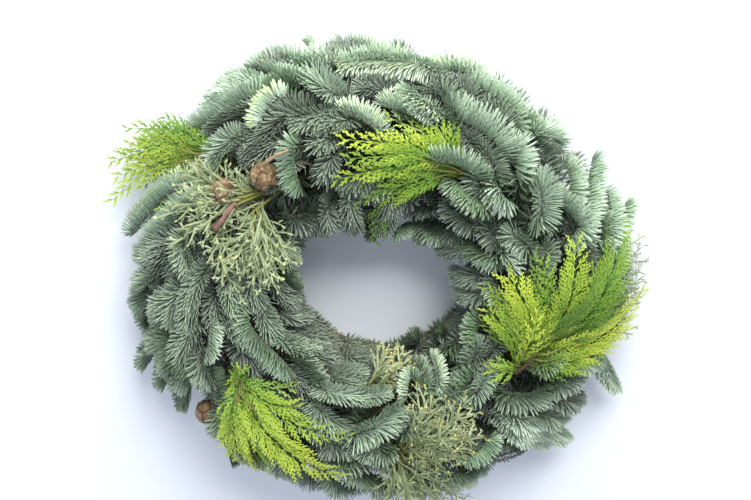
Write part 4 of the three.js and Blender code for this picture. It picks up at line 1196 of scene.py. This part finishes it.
def sphere_directions(across, up):
    """Directions on a grid of turns and heights, both poles as single directions."""
    turn = np.arange(across) * 2 * np.pi / across
    tilt = np.linspace(0, np.pi, up + 1)[1:-1]
    ring = np.stack([np.outer(np.sin(tilt), np.cos(turn)), np.outer(np.sin(tilt), np.sin(turn)),
                     np.outer(np.cos(tilt), np.ones(across))], -1)
    return np.concatenate([ring.reshape(-1, 3), [[0, 0, 1], [0, 0, -1]]])


def sphere_blocks(across, up):
    """The grid's quads, and the triangles round both poles, all facing outwards."""
    quads = ring_quads(up - 1, across)[..., OUTWARDS]
    chart = ring_chart(np.arange(1, up) / up, across)[:, :, OUTWARDS]
    here, after = np.arange(across), (np.arange(across) + 1) % across
    pole, last = across * (up - 1), across * (up - 2)
    ends = np.concatenate([np.stack([here, after, np.full(across, pole)], -1),
                           np.stack([last + after, last + here, np.full(across, pole + 1)], -1)])
    cap_u = np.stack([here, here + 1, here + 0.5], -1) / across
    caps = [np.stack(np.broadcast_arrays(u, v), -1) for u, v in (
        (cap_u, [1 / up, 1 / up, 0]), (cap_u[:, [1, 0, 2]], [1 - 1 / up, 1 - 1 / up, 1]))]
    return [(quads.reshape(-1, 4), chart.reshape(-1, 4, 2)), (ends, np.concatenate(caps))]


# %% Cones
CONE_RADIUS = 12.5
CONE_GRID = (72, 48)  # steps round each cone, and from pole to pole
CONES = [((129, 162, -6), 11), ((141, 177, -8), 10), ((217, 212, 6), 11)]
GROOVE, HORN = 0.11, 0.13  # how wide they are, on a ball of radius 1


def round_cone(name, packed, spot, scales, seed):
    """Radius = the ball's, less a groove where two scale middles are equally near, plus a horn at
    each middle. The middles lie on a golden-angle spiral from pole to pole."""
    chance = np.random.default_rng(seed)
    out = sphere_directions(*CONE_GRID)
    rank = np.arange(scales)
    height = 1 - 2 * (rank + 0.5) / scales
    level = np.sqrt(1 - height**2)
    turn = rank * np.radians(GOLDEN_TURN)
    middles = np.stack([level * np.cos(turn), level * np.sin(turn), height], 1)
    middles = unit(middles + chance.normal(0, 0.07, middles.shape))
    apart = np.linalg.norm(out[:, None] - middles, axis=2)
    near, second = np.sort(apart, axis=1)[:, :2].T
    plate = 1 - np.exp(-((second - near) / GROOVE) ** 2)
    horn = np.exp(-((near / HORN) ** 2))
    tilt = Matrix.Rotation(chance.uniform(0.2, 1.0), 3, Vector(chance.normal(0, 1, 3)))
    radius = CONE_RADIUS * (0.87 + 0.11 * plate + 0.07 * horn - 0.03 * near)
    corners = place(spot[0], spot[1], spot[2] + CONE_RADIUS) + radius[:, None] * (out @ np.array(tilt))
    ball = Skin(corners, sphere_blocks(*CONE_GRID), rounded=True)
    piece = make_piece(name, [ball], [cone_brown], packed)
    # the height of each point on its scale, from which the material paints shade into the grooves
    mask = piece.data.attributes.new("scale_height", "FLOAT", "POINT")
    mask.data.foreach_set("value", (0.75 * plate + 0.25 * horn).astype(np.float32))


for number, (spot, scales) in enumerate(CONES, 1):
    round_cone(f"cypress_cone_{number:02d}", f"cone_{number:02d}", spot, scales, 500 + number)
print("with the cones:", sum(made_triangles.values()))

# %% [markdown]
# ## Dry twigs
#
# A curled dry twig sticks up beside the first cone, and a cut one, pink inside its bark, lies by
# the second. Both are one round skin along a route, with small knots in the radius.

# %% Dry twigs
dry_bark = bark("dry_bark", "#6e5540", "#c9ae8d", 1.0)
cut_bark = bark("cut_bark", "#6e483e", "#b08376", 1.4)
WHOLE_CHART = ((0.02, 0.02), (0.96, 0.96))
TWIG_STEPS = 60
TWIG_SIDES = 14
TWIGS = [
    ([(129, 166, 16), (126, 171, -2), (122, 173, -9), (117, 173, -13)], 2.4, dry_bark),
    ([(151, 165, 4), (149, 165, -9), (144, 165, -13), (139, 165, -13)], 3.0, cut_bark),
]
for number, (points, radius, bark_coat) in enumerate(TWIGS, 1):
    shares = np.linspace(0, 1, TWIG_STEPS)
    knots = 1 + 0.10 * np.sin(23 * shares + number) + 0.06 * np.sin(61 * shares)
    taper = radius * knots * (1 - 0.5 * shares)
    line = route([place(*point) for point in points])
    skin = route_skin(line, shares, taper, TWIG_SIDES, WHOLE_CHART)
    make_piece(f"dry_stick_{number:02d}", [skin], [bark_coat], f"dry_twig_{number:02d}")
print("with the dry twigs:", sum(made_triangles.values()))

# %% [markdown]
# ## The straw ring
#
# Under the greenery is a wreath form: straw pressed half-round, flat below, and wound with thread.
# Its stalks all run round the ring, so their ridges are waves across the section that drift slowly
# along it. Modelling every stalk would cost far more, for a piece that shows only from below.

# %% Straw material
straw_painted_shade, tree, shader = principled("straw_painted_shade", 0.65)
stalks = node(tree, "ShaderNodeMapping", {"Vector": chart_spot(tree), "Scale": (40, 70, 1)})
stalk = node(tree, "ShaderNodeTexNoise", {"Vector": stalks.outputs[0], "Scale": 1.0, "Detail": 5.0})
# dull dark browns: the straw's gold is painted in the shade it lies in under the greenery
straw = ramp(tree, stalk.outputs["Fac"], [
    (0.3, "#3f382b"), (0.45, "#665b42"), (0.6, "#85785a"), (0.75, "#a89b79")])
joined(tree, [(straw, shader.inputs["Base Color"])])
print("straw_painted_shade nodes:", len(tree.nodes))

# %% Straw ring
STRAW_TURNS, STRAW_ARC, STRAW_FLAT = 200, 34, 4  # steps round the ring, over its top, and below
THREAD_TURN = 7.5  # degrees between two windings
THREAD_WIDTH = 0.08  # of the gap between two windings


def straw_ring():
    """A half-round section turned round the axis. Its radius carries ridges of stalks, and thread
    pulls it in at even turns. The ridges fade out towards the flat underside, which stays level."""
    turn = np.arange(STRAW_TURNS) * 360 / STRAW_TURNS
    arc = np.linspace(0, 180, STRAW_ARC + 1)
    turned, around = np.meshgrid(turn, arc, indexing="ij")
    angle = np.radians(around)
    drift = 2.2 * np.sin(np.radians(3 * turned)) + 1.4 * np.sin(np.radians(7 * turned + 40))
    ridges = np.sin(34 * angle + drift) + 0.6 * np.sin(57 * angle - 1.7 * drift)
    thread = np.exp(-((((turned / THREAD_TURN) % 1) - 0.5) / THREAD_WIDTH) ** 2)
    lift = np.minimum(1, 4 * np.sin(angle)) * (0.35 * ridges - 0.5 - 0.9 * thread)
    top = on_straw(turned, around, lift)
    flat = np.linspace(1, 0, STRAW_FLAT + 1)[1:-1]
    inner, outer = STRAW_RADIUS - STRAW_HALF_WIDTH, STRAW_RADIUS + STRAW_HALF_WIDTH
    below = on_circle(turn[:, None], inner + (outer - inner) * (1 - flat[None]), 0.0)
    corners = np.concatenate([top, below], 1)
    rows, across = corners.shape[:2]
    quads = ring_quads(rows + 1, across)[..., ::-1] % (rows * across)
    chart = ring_chart(np.arange(rows + 1) / rows, across)[:, :, ::-1, ::-1]
    return Skin(corners.reshape(-1, 3), [(quads.reshape(-1, 4), chart.reshape(-1, 4, 2))], rounded=True)


make_piece("straw_form", [straw_ring()], [straw_painted_shade], "straw_ring")
print("with the straw:", sum(made_triangles.values()))

# %% [markdown]
# ## The binding wire
#
# One length of green lacquered wire winds round the ring and every stem on it. It is a round skin
# along a long route. The section's width always lies along the ring, so it can't twist.

# %% Binding wire
wire_green, _, shader = principled("wire_green", 0.35)
shader.inputs["Base Color"].default_value = linear("#3f5240")
shader.inputs["Metallic"].default_value = 0.6
WIRE_RADIUS = 0.7
WIRE_TURNS = 12
WIRE_STEPS = 8  # points in each turn
WIRE_HEIGHT = 40  # where it lies on bare straw, just clear of it
WIRE_LIFT = 8  # over the stems
WIRE_GAP = 1.4
WIRE_LOWEST = 1.0
WIRE_RINGS = 480
WIRE_SIDES = 8


def wire_line():
    """Points at even turns round the ring and round its section, raised over the stems on top."""
    step = np.arange(WIRE_TURNS * WIRE_STEPS)
    angle = 2 * np.pi * (step + 0.5) / WIRE_STEPS
    lift = WIRE_LIFT * np.maximum(0, np.sin(angle))
    sideways = STRAW_HALF_WIDTH + WIRE_GAP + 0.5 * lift
    height = np.maximum(WIRE_LOWEST, (WIRE_HEIGHT + lift) * np.sin(angle))
    points = on_circle(360 * step / len(step), STRAW_RADIUS + sideways * np.cos(angle), height)
    return np.maximum(route(points, samples=6), [-np.inf, -np.inf, WIRE_LOWEST])


wound = wire_line()
shares = np.linspace(0, 1, WIRE_RINGS)
on_wire, _ = walk(wound, shares)
ring_way = unit(np.cross([0, 0, 1.0], on_wire * [1, 1, 0]))
skin = route_skin(wound, shares, np.full(WIRE_RINGS, WIRE_RADIUS), WIRE_SIDES, WHOLE_CHART,
                  steady=ring_way)
make_piece("wound_wire", [skin], [wire_green], "binding_wire")
print("with the wire:", sum(made_triangles.values()))

# %% [markdown]
# ## Measure
#
# The triangles in the new pieces are counted. The finished wreath has to fill the same box as the
# imported one.

# %% Sizes
print("triangles in the new pieces:", sum(made_triangles.values()))
